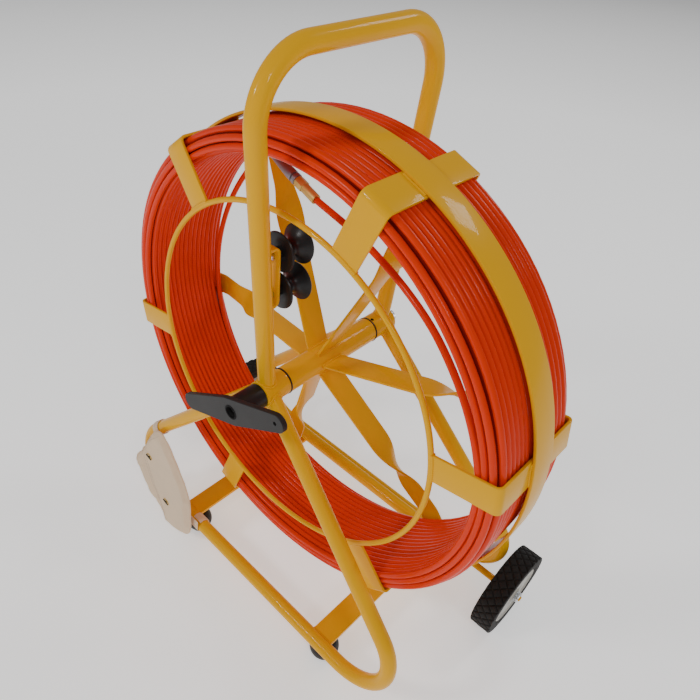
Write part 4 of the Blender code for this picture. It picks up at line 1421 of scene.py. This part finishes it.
# ------------------------------------------------------------------ reel
@dataclass
class Reel:
    """The turning cage: hub, six one-piece twisted bars, hoop and near ring."""

    bar_angles: tuple[float, ...] = (10.5, 68.0, 125.6, 189.0, 249.2, 311.0)
    root_y: float = 0.020
    spoke_bend: float = 0.394
    twist_from: float = 0.205
    twist_to: float = 0.335
    bend_r: float = 0.009
    ring_r: float = 0.3373
    ring_wire: float = 0.00475
    hoop_sides: int = 64
    hub_span: tuple[float, float] = (-0.0834, 0.1505)

    def __post_init__(self) -> None:
        """Work out the radii that follow."""
        hoop_in = (HOOP_R - CAGE_T) * math.cos(math.pi / self.hoop_sides)
        self.strap_mid = math.sqrt((hoop_in - GAP) ** 2 - (FLAT_W / 2) ** 2) - CAGE_T / 2

    def bar_path(self) -> list[Vector]:
        """Centre line of a bar as (radius, y) points; keeps which of them ends the twist.

        Returns:
            The points, from the hub outwards and round to the near ring.
        """
        inner, end = HUB_R - 0.0008, self.ring_r + self.ring_wire * 0.55
        spoke = arc_path([(inner, self.root_y), (self.spoke_bend, LEG_MID_Y),
                          (self.strap_mid - 0.02, LEG_MID_Y)], 0.060, 5)
        rest = arc_path([(self.strap_mid - 0.02, LEG_MID_Y), (self.strap_mid, LEG_MID_Y),
                         (self.strap_mid, -LEG_MID_Y), (end, -LEG_MID_Y)], self.bend_r, 9)
        root = Vector((inner, self.root_y))
        along = spoke[1] - root
        stops = [inner + 0.012, self.twist_from]
        twist = self.twist_to - self.twist_from
        stops += [self.twist_from + twist * k / 26 for k in range(1, 27)]
        extra = [root + along * ((r - inner) / along[0]) for r in stops]
        self.twist_last = len(extra)
        return [root] + extra + spoke[1:-1] + rest[1:]

    def stations(self, degrees: float) -> list[tuple[Vector, Vector, Vector]]:
        """Centre, width and thickness directions along one bar.

        Args:
            degrees: the bar's angle round the hub.

        Returns:
            The three vectors at each point of the bar's path.
        """
        path = self.bar_path()
        radial, side = spoke(degrees)
        axle = Vector(Y_AXIS)
        out = []
        for i, point in enumerate(path):
            first = (point - path[i - 1]) if i else (path[1] - point)
            second = (path[i + 1] - point) if i < len(path) - 1 else first
            along = (first.normalized() + second.normalized()).normalized()
            normal = Vector((-along[1], along[0])) if i else Vector((0.0, 1.0))
            t = clamp((point[0] - self.twist_from) / (self.twist_to - self.twist_from))
            if i > self.twist_last:
                t = 1.0
            turn = (1 - smooth_step(t)) * math.pi / 2
            up = radial * normal[0] + axle * normal[1]
            wide = side * math.cos(turn) - up * math.sin(turn)
            deep = side * math.sin(turn) + up * math.cos(turn)
            out.append((radial * point[0] + axle * point[1], wide, deep))
        return out

    def bar(self, index: int, degrees: float) -> Form:
        """One bar, and its weld seams at the hub, the ring and the hoop.

        Args:
            index: the bar's number.
            degrees: its angle round the hub.

        Returns:
            The seams, to be joined with the other bars' seams.
        """
        stations = self.stations(degrees)
        piece(f"strap_bar_{index}", band(stations, FLAT_W, CAGE_T, 0.0011), YELLOW, Body.REEL,
              [f"cage_bar_{index}"])
        seams = Form()
        radial, side = spoke(degrees)
        shares = [t / SEAM_STEPS for t in range(SEAM_STEPS + 1)]
        spread = math.degrees(FLAT_W / 2 / self.ring_r)
        for way in (-1, 1):
            line = [radial * (HUB_R + 0.0004) + side * way * CAGE_T / 2
                    + Vector((0, self.root_y - FLAT_W / 2 + FLAT_W * t, 0)) for t in shares]
            seams.add(weld(line, 0.0023, False, 80 + index))
            arc = [polar(self.ring_r + self.ring_wire * 0.80, degrees - spread + 2 * spread * t,
                         -LEG_MID_Y + way * CAGE_T * 0.55) for t in shares]
            seams.add(weld(arc, 0.0021, False, 90 + index))
            hoop = [radial * (self.strap_mid + CAGE_T / 2 + 0.0003)
                    + side * (-FLAT_W * 0.42 + FLAT_W * 0.84 * t)
                    + Vector((0, way * (FLAT_W / 2 + 0.0004), 0)) for t in shares]
            seams.add(weld(hoop, 0.0017, False, 97 + index))
        return seams

    def build(self) -> None:
        """Make the cage and its hub."""
        seams = Form()
        for index, degrees in enumerate(self.bar_angles, 1):
            seams.add(self.bar(index, degrees))
        piece("cage_welds", seams, YELLOW, Body.REEL, crease=WELD_CREASE)
        half = FLAT_W / 2
        hoop = turned_ring(HOOP_R - CAGE_T, HOOP_R, -half, half, 0.0012, 200)
        piece("reel_hoop", hoop, YELLOW, Body.REEL, ["outer_hoop"])
        section = [(self.ring_r + self.ring_wire * math.cos(math.tau * k / 18),
                    -LEG_MID_Y + self.ring_wire * math.sin(math.tau * k / 18)) for k in range(18)]
        wire = lathe(section, 180, Y_AXIS, hollow=True)
        piece("wire_ring", wire, YELLOW, Body.REEL, ["near_ring"])
        low, high = self.hub_span
        barrel = turned_ring(0.0221, HUB_R, low, high, 0.0009, 72)
        piece("hub_barrel", barrel, YELLOW, Body.REEL, ["hub_tube"])
        for label, start in (("near", low), ("far", high - 0.025)):
            bush = turned_ring(0.0130, 0.0219, start, start + 0.025, 0.0006, 48)
            piece(f"bush_{label}", bush, BRASS, Body.REEL, [f"hub_bushing_{label}"])


# ------------------------------------------------------------------ coil
@dataclass
class Coil:
    """The coiled rod: outer turns, inner turns, loose end with ferrule and leader."""

    turn_r: float = 0.4399
    turn_y: float = 0.0924
    inner_r: float = 0.411
    pitch: float = 0.01155
    flank_pitch: float = 0.01166
    overlap: float = 0.43
    end_angle: float = 8.0
    per_turn: int = 108
    tail: tuple[tuple[float, float, float], ...] = (
        (0.4075, 17.0, -0.0922), (0.3985, 26.0, -0.0870), (0.3830, 34.5, -0.0750),
        (0.3640, 44.0, -0.0600), (0.3430, 55.0, -0.0455), (0.3255, 66.8, -0.0310),
        (0.3180, 78.0, -0.0190))
    ferrule_at: tuple[float, float, float] = (0.3240, 93.0, -0.008)
    tip_at: tuple[float, float, float] = (0.3900, 111.5, 0.004)
    ferrule_l: float = 0.050
    tip_l: float = 0.080
    inner_rows: int = 15
    inner_from: float = 75.0
    step_share: float = 0.14
    hang_at: float = 150.0
    hang_spread: float = 42.0
    hang_in: float = 0.029
    hang_y: float = 0.004
    sags: tuple[tuple[float, float, float], ...] = ((118.0, 48.0, 0.0042), (46.0, 32.0, 0.0074))

    def sway(self, turns: float, degrees: float) -> tuple[float, float]:
        """Small uneven lie of a turn, as a change of radius and of Y.

        Args:
            turns: place along the rod, in turns.
            degrees: angle round the axle.

        Returns:
            The two changes.
        """
        angle = math.radians(degrees)
        spot = Vector((math.cos(angle) * 1.7, math.sin(angle) * 1.7, turns * 0.9))
        return noise.noise(spot) * 0.0007, noise.noise(spot + Vector((9, 5, 2))) * 0.0006

    def outer(self) -> list[Vector]:
        """Centre line from the far flank, over the outside, down the near flank.

        Returns:
            The line's points.
        """
        across = 2 * self.turn_y / self.pitch
        spiral = (self.turn_r - self.inner_r) / self.flank_pitch
        start_across = spiral - self.overlap
        start_in = start_across + across - self.overlap
        total = start_in + spiral
        count = int(total * self.per_turn)
        out = []
        for k in range(count + 1):
            turns = total - (count - k) / self.per_turn
            radius = min(self.inner_r + self.flank_pitch * turns, self.turn_r,
                         self.turn_r - self.flank_pitch * (turns - start_in))
            y = self.turn_y - self.pitch * clamp(turns - start_across, 0.0, across)
            degrees = self.end_angle - 360 * (total - turns)
            fade = min((total - turns) * 3, 1.0)
            dr, dy = self.sway(turns, degrees)
            inset = min(max(self.turn_r - radius, 0.0) / 0.004, 1.0)
            loose = self.slack(degrees) * clamp((self.turn_r - radius - 0.002) / 0.004)
            if y > 0:
                loose = 0.0
            loose *= 1 - 0.3 * clamp((total - turns - 0.96) * 12)
            out.append(polar(radius + (min(dr, 0.0) - 0.0001) * fade - loose * fade, degrees,
                             y + dy * fade * 0.5 * (1 - inset)))
        return out

    def slack(self, degrees: float) -> float:
        """How far the near flank's inner turns sag over the top, most at the upper right."""
        return sum(depth * bell(degrees, middle, spread) for middle, spread, depth in self.sags)

    def inner(self) -> list[Vector]:
        """Centre line of the innermost layer: level turns that step across at the upper right.

        Its far turn hangs slack over the upper left.

        Returns:
            The line's points.
        """
        rows = self.inner_rows
        count = rows * self.per_turn
        out = []
        for k in range(count + 1):
            turns = k / self.per_turn
            row = min(int(turns), rows - 1)
            part = turns - row
            step = clamp((part - 1 + self.step_share) / self.step_share) if row < rows - 1 else 0.0
            degrees = self.inner_from + 360 * turns
            y = (rows // 2 - row - smooth_step(step)) * self.pitch
            dr, dy = self.sway(turns + 40, degrees)
            radius = self.inner_r + 0.0002 + max(dr, -0.0001)
            if row == 0:
                fall = bell(degrees, self.hang_at, self.hang_spread) * min(part / 0.06, 1.0)
                radius -= self.hang_in * fall
                y -= self.hang_y * fall
            if y < -0.06:
                radius -= self.slack(degrees) * min((-0.06 - y) / 0.02, 1.0) * 0.5
            out.append(polar(radius, degrees, y + dy * 0.3))
        return out

    def loose_end(self, last: Sequence[Vector]) -> tuple[list[Vector], Vector, Vector]:
        """The smooth run of the free end into the ferrule.

        Args:
            last: two points at the end of the coiled part.

        Returns:
            The run's points, the ferrule's start and the leader's direction.
        """
        start, goal = polar(*self.ferrule_at), polar(*self.tip_at)
        line = (goal - start).normalized()
        knots = list(last) + [polar(*spot) for spot in self.tail] + [start, start + line * 0.017]
        out = []
        for i in range(1, len(knots) - 2):
            a, b, c, d = knots[i - 1:i + 3]
            out += [between(a, b, c, d, k / 10) for k in range(1, 11)]
        out.append(knots[-1])
        return out, start, line

    def build(self) -> None:
        """Make the coil and what is on the rod's end."""
        run = self.outer()
        knots = [polar(self.inner_r + self.flank_pitch / 24, self.end_angle - 15, -self.turn_y),
                 polar(self.inner_r, self.end_angle, -self.turn_y)]
        end, start, line = self.loose_end(knots)
        piece("rod_turns", tube(run + end, ROD_R, 14), ROD, Body.REEL, ["rod_winding"])
        piece("rod_inner_turns", tube(self.inner(), ROD_R, 12), ROD, Body.REEL, ["rod_core"])
        behind = tube([polar(self.inner_r + 0.0010 + 0.0095 * ((k - 54) / 48) ** 2, 96 + k,
                             7 * self.pitch - 0.0010) for k in range(109)], ROD_R, 12)
        piece("rod_second_turn", behind, ROD, Body.REEL)
        # A dark ring in the darker rod finish fills the coil's inside: painted shade that shows
        # through the gaps between the turns.
        core = turned_ring(self.inner_r + 0.002, self.turn_r - 0.003, -0.086, 0.086, 0.003, 120)
        piece("rod_hidden_layers_painted_shade", core, ROD_PAINTED_SHADE, Body.REEL)
        self.fittings(start, line)

    def fittings(self, start: Vector, line: Vector) -> None:
        """Brass ferrule with its hexagon and the steel leader.

        Args:
            start: where the ferrule starts.
            line: direction of the ferrule and the leader.
        """
        size = self.ferrule_l
        loops = [ring_points(r, h, 24) for r, h in
                 ((0.0057, 0.004), (0.0058, 0.0), (0.0076, 0.0), (0.0083, 0.0008),
                  (0.0083, size * 0.60), (0.0079, size * 0.62))]
        loops += [hexagon(0.0086, size * 0.635), hexagon(0.0086, size - 0.0015)]
        loops += [ring_points(0.0082, size, 24), ring_points(0.0043, size, 24)]
        ferrule = loft(loops).moved(aim(line, start))
        piece("ferrule_brass", ferrule, BRASS, Body.REEL, ["rod_ferrule"])
        base = size + GAP
        profile = [(0.004, base - 0.010), (0.004, base), (0.0092, base), (0.0098, base + 0.0007),
                   (0.0098, base + 0.0062), (0.0092, base + 0.0070), (0.0074, base + 0.0074),
                   (0.0074, base + 0.0096), (0.0094, base + 0.0100), (0.0097, base + 0.0108),
                   (0.0096, base + 0.020), (0.0086, base + 0.034), (0.0074, base + 0.048),
                   (0.0066, base + 0.058), (0.0060, base + 0.066), (0.0056, base + 0.072),
                   (0.0044, base + 0.0765), (0.0028, base + 0.0792), (0.0008, base + self.tip_l)]
        piece("leader_steel", lathe(profile, 40, line, start), LEADER, Body.REEL, ["rod_tip"])


# ------------------------------------------------------------------ pouch
def sheet_of(outer: Sequence[Loop], inner: Sequence[Loop]) -> Form:
    """Close two equal grids of points into one thin sheet.

    Args:
        outer: rows of points on its face.
        inner: the same rows on its back.

    Returns:
        The closed sheet.
    """
    form = Form([p for row in (*outer, *inner) for p in row])
    rows, wide = len(outer) - 1, len(outer[0])
    sheet = (rows + 1) * wide
    for r in range(rows):
        for c in range(wide - 1):
            a = r * wide + c
            b = sheet + a
            form.faces.append((a, a + 1, a + wide + 1, a + wide))
            form.faces.append((b, b + wide, b + wide + 1, b + 1))
    last = wide - 1
    border = ([(0, c) for c in range(last)] + [(r, last) for r in range(rows)]
              + [(rows, c) for c in range(last, 0, -1)] + [(r, 0) for r in range(rows, 0, -1)])
    ids = [r * wide + c for r, c in border]
    for i, here in enumerate(ids):
        after = ids[(i + 1) % len(ids)]
        form.faces.append((after, here, sheet + here, sheet + after))
    return form


@dataclass
class Pouch:
    """Canvas tool pouch strapped to the near-left leg and rail, its flap folded from the right."""

    stand: Stand
    edge: tuple[tuple[float, float], ...] = (
        (-0.308, -0.312), (-0.288, -0.312), (-0.241, -0.369), (-0.209, -0.411), (-0.190, -0.455),
        (-0.185, -0.548), (-0.199, -0.583), (-0.231, -0.596), (-0.285, -0.606), (-0.334, -0.578),
        (-0.362, -0.576), (-0.395, -0.532), (-0.430, -0.494), (-0.421, -0.474), (-0.371, -0.396),
        (-0.330, -0.325))
    fold: tuple[tuple[float, float], ...] = (
        (-0.322, -0.322), (-0.292, -0.315), (-0.243, -0.369), (-0.210, -0.411), (-0.191, -0.455),
        (-0.187, -0.500), (-0.186, -0.548), (-0.200, -0.582), (-0.231, -0.595), (-0.262, -0.600))
    free: tuple[tuple[float, float], ...] = (
        (-0.340, -0.345), (-0.352, -0.372), (-0.361, -0.404), (-0.362, -0.428), (-0.355, -0.450),
        (-0.343, -0.474), (-0.329, -0.498), (-0.313, -0.517), (-0.300, -0.535), (-0.285, -0.565),
        (-0.276, -0.592))
    buttons: tuple[tuple[float, float], ...] = ((-0.339, -0.412), (-0.271, -0.517))
    thick: float = 0.021
    back: float = TUBE_R + 2 * GAP + 0.0025
    loop_at: float = 0.480
    loop_x: float = -0.184
    strap_w: float = 0.028
    ease: float = 1.014
    voxel: float = 0.0042
    frames: int = 20
    flap_grid: tuple[int, int] = (64, 36)
    stitch: float = 0.0038
    hem_from: float = 0.93
    loose_from: float = 0.72
    cloth_t: float = 0.0012
    fold_width: float = 0.0125
    drift_cap: float = 0.0018
    flap_flat: tuple[float, float] = (0.147, 0.275)
    cloth: tuple[tuple[str, float], ...] = (
        ("quality", 6), ("mass", 0.3), ("tension_stiffness", 20.0), ("compression_stiffness", 8.0),
        ("shear_stiffness", 6.0), ("bending_stiffness", 0.12), ("uniform_pressure_force", 4.0))

    def __post_init__(self) -> None:
        """Round the edge and find its middle once."""
        count = len(self.edge)
        self.centre = Vector((sum(p[0] for p in self.edge) / count,
                              sum(p[1] for p in self.edge) / count))
        self.rest = self.back + self.thick * 0.48
        self.outward = (self.spot(0, 0, 1) - self.spot(0, 0, 0)).normalized()
        corners = [Vector(p) for p in soften(self.edge, 0.022, steps=5)]
        self.rim: list[Vector] = []
        for i, corner in enumerate(corners):
            after = corners[(i + 1) % len(corners)]
            parts = max(round((after - corner).length / 0.006), 1)
            self.rim += [corner.lerp(after, k / parts) for k in range(parts)]

    def spot(self, x: float, z: float, lift: float) -> Vector:
        """A point over the leaning plane, from x, z and the height above the tubes' middle."""
        return self.stand.place(self.stand.near_y, -1, x, z / math.cos(self.stand.tilt), lift)

    def lift_of(self, point: Vector) -> float:
        """Height of a point above the tubes' middle plane."""
        return (point - self.spot(0, 0, 0)).dot(self.outward)

    def bag(self) -> Form:
        """The bag's pattern: a slack lens on the outline, which the filling then rounds out.

        Returns:
            The closed pattern.
        """
        shares = [0.03, 0.14, 0.28, 0.42, 0.56, 0.68, 0.78, 0.86, 0.92, 0.96, 0.985, 1.0]
        loops: list[Loop] = []
        for side, run in ((1, shares), (-1, list(reversed(shares)))):
            for t in run:
                swell = self.thick * 0.36 * max(1 - t ** 3, 0.0) ** 0.7 + 0.0004
                loop = []
                for p in self.rim:
                    place = self.centre + (p - self.centre) * t * self.ease
                    crumple = noise.noise(Vector((place.x * 34, place.y * 34, side * 3.0))) * 0.0022
                    height = self.rest + side * swell + crumple * (1 - t ** 6)
                    loop.append(self.spot(place.x, place.y, height))
                loops.append(loop)
        return loft(loops)

    def filled(self, pattern: Form) -> Form:
        """Fill the pattern out with a short cloth run under light pressure.

        Args:
            pattern: the closed slack shape.

        Returns:
            The filled shape, kept between the tubes and the pouch's full depth.
        """
        blank = put("bag_pattern", raw_mesh("bag_pattern", pattern))
        even = blank.modifiers.new("even", "REMESH")
        even.mode = "VOXEL"
        even.voxel_size = self.voxel
        blank.data = settled(blank)
        starts = [v.co.copy() for v in blank.data.vertices]
        faces = [tuple(f.vertices) for f in blank.data.polygons]
        ends = starts
        fill = blank.modifiers.new("fill", "CLOTH").settings
        for key, value in self.cloth:
            setattr(fill, key, value)
        fill.use_pressure = True
        fill.effector_weights.gravity = 0.0
        for number in range(1, self.frames + 1):
            bpy.context.scene.frame_set(number)
        graph = bpy.context.evaluated_depsgraph_get()
        ends = [v.co.copy() for v in blank.evaluated_get(graph).data.vertices]
        bpy.context.scene.frame_set(1)
        bpy.data.objects.remove(blank)
        low, high = self.back + 0.0005, self.back + self.thick * 0.90
        out = []
        for start, end in zip(starts, ends):
            move = end - start
            swell = self.outward * move.dot(self.outward)
            drift = move - swell
            if drift.length > self.drift_cap:
                drift *= self.drift_cap / drift.length
            point = start + swell + drift
            height = self.lift_of(point)
            point += self.outward * (clamp(height, low, high) - height)
            if height > self.back + self.thick * 0.5:
                point += self.outward * self.folds(point)
            out.append(point)
        return Form(out, faces)

    def folds(self, point: Vector) -> float:
        """Drop of the body's loose cloth left of the flap, in soft folds along the free edge.

        Args:
            point: a point on the bag's front.

        Returns:
            The drop, as a number of 0 or less.
        """
        here = Vector((point.x, point.z))
        near, way = 1.0, 0.0
        for i in range(1, len(self.free)):
            a, b = Vector(self.free[i - 1]), Vector(self.free[i])
            t = clamp((here - a).dot(b - a) / (b - a).length_squared)
            gap = here - (a + (b - a) * t)
            if gap.length < near:
                near = gap.length
                way = (b - a).x * gap.y - (b - a).y * gap.x
        if way > 0:
            return 0.0
        reach = min(near / 0.016, 1.0)
        wander = 2.2 * noise.noise(here.to_3d() * 22)
        wave = 0.5 + 0.5 * math.sin(near / self.fold_width * math.tau + wander)
        return -0.0038 * reach - 0.0042 * reach * wave

    def ground(self, under: BVHTree, x: float, z: float, rest: float) -> float:
        """Height of what lies under a place, or a resting height where there is nothing."""
        hit = under.ray_cast(self.spot(x, z, 0.09), -self.outward)[0]
        return self.lift_of(hit) if hit is not None else rest

    def flap_place(self, down: float, over: float) -> Vector:
        """A place on the flap, from its fold to its free edge."""
        start, end = spline(self.fold, down), spline(self.free, down)
        return start.lerp(end, over)

    def heights(self, under: BVHTree, spots: Sequence[Sequence[Vector]]) -> list[list[float]]:
        """Smoothed heights over a grid of places, never below what lies under them.

        Args:
            under: the filled bag.
            spots: the places, row by row.

        Returns:
            The height at each place.
        """
        raw = [[max(self.ground(under, p.x, p.y, self.rest), self.rest - 0.002) for p in row]
               for row in spots]
        rows, cols = len(raw) - 1, len(raw[0]) - 1
        even = raw
        for _ in range(3):
            even = [[(even[max(r - 1, 0)][c] + even[min(r + 1, rows)][c] + even[r][max(c - 1, 0)]
                      + even[r][min(c + 1, cols)]) / 4 for c in range(cols + 1)]
                    for r in range(rows + 1)]
        return [[max(a, b) for a, b in zip(*pair)] for pair in zip(even, raw)]

    def flap(self, under: BVHTree) -> Form:
        """The flap: turned round the right edge, over the bag's front, hemmed at its free edge.

        Args:
            under: the filled bag.

        Returns:
            The flap as a closed sheet.
        """
        rows, cols = self.flap_grid
        shares = [(c / cols) ** 1.4 for c in range(cols + 1)]
        spots = [[self.flap_place(r / rows, over) for over in shares] for r in range(rows + 1)]
        level = self.heights(under, spots)
        outer: list[Loop] = []
        inner: list[Loop] = []
        for r in range(rows + 1):
            edge, along = spots[r][0], (spots[min(r + 1, rows)][0] - spots[max(r - 1, 0)][0])
            side = Vector((along.y, -along.x)).normalized()
            if side.dot(edge - self.centre) < 0:
                side.negate()
            tuck, turn = edge - side * 0.007, edge + side * 0.0018
            row = [self.spot(tuck.x, tuck.y, self.rest - self.thick * 0.26),
                   self.spot(turn.x, turn.y, self.rest - 0.0022)]
            inside = self.spot(-side.x, -side.y, 0) - self.spot(0, 0, 0)
            under_row = [p + inside * self.cloth_t + self.outward * 0.0004 for p in row]
            for place, over, base in zip(spots[r], shares, level[r]):
                hem = clamp((over - self.hem_from) / 0.012)
                loose = max(over - self.loose_from, 0.0) / (1 - self.loose_from)
                wave = 1 + noise.noise(Vector((r * 0.16, 3.3, over * 2)))
                lift = 0.0014 + 0.0010 * loose * wave
                height = base + lift + 0.0006 * hem
                row.append(self.spot(place.x, place.y, height))
                under_row.append(self.spot(place.x, place.y, height - self.cloth_t - 0.0010 * hem))
            outer.append(row)
            inner.append(under_row)
        return sheet_of(outer, inner)

    def stitches(self, line: Sequence[Vector]) -> Form:
        """A row of thread stitches along a line of points.

        Args:
            line: the points.

        Returns:
            The stitches.
        """
        form = Form()
        run = 0.0
        for a, b in zip(line, line[1:]):
            run += (b - a).length
            if run < self.stitch:
                continue
            run = 0.0
            along = (b - a).normalized()
            form.add(tube([a, a + along * 0.0008, a + along * 0.0019, a + along * 0.0027],
                          lambda t: 0.00026 + 0.00030 * math.sin(math.pi * t), 5))
        return form

    def seam_rows(self, flap: BVHTree, bag: BVHTree) -> Form:
        """Stitching along the flap's hem, across its top and down the bag's open side.

        Args:
            flap: the flap's surface.
            bag: the bag's surface.

        Returns:
            All the stitches.
        """
        rows = [(flap, [self.flap_place(k / 260, over) for k in range(8, 253)])
                for over in (0.975, 0.925)]
        rows.append((flap, [self.flap_place(0.10, (k / 90) ** 1.5) for k in range(14, 86)]))
        side = [self.centre + (p - self.centre) * 0.95 for p in self.rim
                if p.x < -0.33 and p.y < -0.40]
        rows.append((bag, [a.lerp(b, k / 6) for a, b in zip(side, side[1:]) for k in range(6)
                           if (b - a).length < 0.02]))
        form = Form()
        for under, row in rows:
            line = [self.spot(p.x, p.y, self.ground(under, p.x, p.y, self.rest) + 0.0002)
                    for p in row]
            form.add(self.stitches(line))
        return form

    def strap(self, label: str, at: Vector, axis: Vector, inward: Vector, tail: float,
              top: float) -> None:
        """A canvas loop round a tube, its tail sewn to the pouch.

        Args:
            label: upper or lower.
            at: where it sits on the tube's middle.
            axis: the tube's direction.
            inward: direction towards the pouch's middle, along its back.
            tail: length of the sewn end.
            top: height of the sewn end above the tube's middle.
        """
        axis = axis.normalized()
        out = self.outward
        inward = (inward - axis * inward.dot(axis) - out * inward.dot(out)).normalized()
        radius = TUBE_R + 0.0016
        path = []
        for k in range(13):
            t = 1 - k / 13
            rise = (top - radius) * smooth_step(t)
            path.append(at + out * (radius + rise) + inward * tail * t)
        for k in range(49):
            angle = math.radians(90 + 300 * k / 48)
            path.append(at + inward * radius * math.cos(angle) + out * radius * math.sin(angle))
        stations = []
        for i, point in enumerate(path):
            along = (path[min(i + 1, len(path) - 1)] - path[max(i - 1, 0)]).normalized()
            puff = 1 + 0.05 * noise.noise(point * 60)
            stations.append((point, axis * puff, axis.cross(along).normalized()))
        made = piece(f"pouch_strap_{label}", band(stations, self.strap_w, 0.0019, 0.0007), CANVAS,
                     Body.STAND, [f"pouch_loop_{label}"])
        length = sum((path[i] - path[i - 1]).length for i in range(1, len(path)))

    def button(self, label: str, x: float, z: float, under: BVHTree) -> None:
        """A turn button: an oval rim in the flap and a dark bar across it.

        Args:
            label: upper or lower.
            x: its X.
            z: its Z.
            under: the flap's surface.
        """
        out = self.outward
        at = self.spot(x, z, self.ground(under, x, z, self.back + self.thick) + 0.0007)
        along = Vector((0.97, 0, -0.25))
        along = (along - out * along.dot(out)).normalized()
        across = along.cross(out).normalized()
        path = [at + across * 0.0068 * math.cos(math.tau * k / 40)
                + along * 0.0096 * math.sin(math.tau * k / 40) for k in range(40)]
        piece(f"button_eyelet_{label}", tube(path, 0.0012, 10, closed=True), BRASS, Body.STAND)
        post = lathe([(0.0026, -0.0006), (0.0026, 0.0016), (0.0004, 0.0016)], 20, out, at)
        stations = [(at + out * 0.0022 + along * s, across, out)
                    for s in (-0.0098, -0.0086, 0.0086, 0.0098)]
        button = post.add(band(stations, 0.0042, 0.0018, 0.0008))
        piece(f"turn_button_{label}", button, DARK_BRASS, Body.STAND, [f"pouch_button_{label}"])

    def build(self) -> None:
        """Make the pouch, its straps and its buttons."""
        shape = self.filled(self.bag())
        bag = piece("pouch_bag", shape, CANVAS, Body.STAND, ["canvas_pouch"], crease=180)
        smooth = bag.modifiers.new("soft", "SUBSURF")
        smooth.levels = smooth.render_levels = 1
        below = BVHTree.FromPolygons(shape.verts, shape.faces)
        cover = self.flap(below)
        flap = piece("pouch_flap", cover, CANVAS, Body.STAND, crease=50)
        above = BVHTree.FromPolygons(cover.verts, cover.faces)
        thread_rows = self.seam_rows(above, below)
        piece("pouch_stitches", thread_rows, THREAD, Body.STAND, crease=WELD_CREASE)
        x, w = self.stand.leg_point(self.loop_at)
        x2, w2 = self.stand.leg_point(self.loop_at + 0.1)
        at = self.stand.place(self.stand.near_y, -1, -x, w)
        axis = self.stand.place(self.stand.near_y, -1, -x2, w2) - at
        goal = self.spot(self.centre.x, self.centre.y, 0.0)
        self.strap("upper", at, axis, goal - at, 0.046, self.back + self.thick * 0.93)
        at = Vector((self.loop_x, self.stand.rail_near, self.stand.rail_z))
        self.strap("lower", at, Vector(X_AXIS), Vector(Z_AXIS), 0.024, TUBE_R + 0.0016)
        for label, (x, z) in zip(("upper", "lower"), self.buttons):
            self.button(label, x, z, above)


# ------------------------------------------------------------------ studio
@dataclass
class Studio:
    """Pale floor, soft lights and the camera that took the photograph's view."""

    focal_px: float = 606.152
    picture_px: float = 700.0
    sensor_mm: float = 36.0
    axis_px: tuple[float, float] = (289.501, 372.535)
    eye: tuple[float, float, float] = (0.59138, -0.66730, 0.74192)
    right: tuple[float, float, float] = (0.6904118, 0.7226247, 0.0338392)
    up: tuple[float, float, float] = (-0.4921670, 0.4349157, 0.7540690)
    back: tuple[float, float, float] = (0.5301917, -0.5372726, 0.6559229)
    floor_half: float = 12.0
    sky_strength: float = 0.36

    def camera(self) -> None:
        """Make the camera."""
        data = bpy.data.cameras.new("photo_camera")
        data.sensor_width = self.sensor_mm
        data.lens = self.focal_px / self.picture_px * self.sensor_mm
        data.shift_x = (self.picture_px / 2 - self.axis_px[0]) / self.picture_px
        data.shift_y = (self.axis_px[1] - self.picture_px / 2) / self.picture_px
        data.clip_start = 0.02
        data.clip_end = 60.0
        made = put("photo_camera", data)
        turn = Matrix((self.right, self.up, self.back)).transposed().to_4x4()
        made.matrix_world = Matrix.Translation(HUB + Vector(self.eye)) @ turn
        bpy.context.scene.camera = made

    def light(self, name: str, at: Sequence[float], size: float, power: float) -> None:
        """A square soft light aimed at the reel.

        Args:
            name: the light's name.
            at: its place, from the hub.
            size: length of its side.
            power: its power in watts.
        """
        data = bpy.data.lights.new(name, "AREA")
        data.size = size
        data.energy = power
        made = put(name, data, HUB + Vector(at))
        made.rotation_euler = (-Vector(at)).to_track_quat("-Z", "Y").to_euler()

    def floor(self) -> None:
        """A wide pale floor."""
        size = self.floor_half
        corners = [(-size, -size, 0), (size, -size, 0), (size, size, 0), (-size, size, 0)]
        mesh = raw_mesh("studio_floor", Form([Vector(p) for p in corners], [(0, 1, 2, 3)]))
        mesh.materials.append(PaleFloor("pale_floor", "none", (0.94, 0.94, 0.94), 0.8).material())
        put("studio_floor", mesh)

    def build(self) -> None:
        """Make the camera, lights, world and floor."""
        self.camera()
        self.floor()
        for name, at, size, power in (("key_soft", (-0.9, -2.3, 1.9), 0.45, 24.0),
                                      ("fill_soft", (2.4, -1.2, 2.4), 0.6, 16.0),
                                      ("rim_soft", (0.8, 2.6, 2.4), 0.7, 18.0)):
            self.light(name, at, size, power)
        world = bpy.data.worlds.new("studio_world")
        world.use_nodes = True
        sky = world.node_tree.nodes["Background"]
        sky.inputs["Color"].default_value = (1.0, 1.0, 1.0, 1.0)
        sky.inputs["Strength"].default_value = self.sky_strength
        bpy.context.scene.world = world


def main() -> None:
    """Build the studio and every piece of the reel."""
    logging.basicConfig(level=logging.INFO, format="%(name)s %(message)s")
    Studio().build()
    stand = Stand()
    stand.build()
    for side in Side:
        Wheel(side, Vector((side.value * 0.4424, stand.axle_y, stand.axle_z))).build()
    RollerGuide(stand).build()
    Brake().build()
    Reel().build()
    Coil().build()
    Pouch(stand).build()


if __name__ == "__main__":
    main()
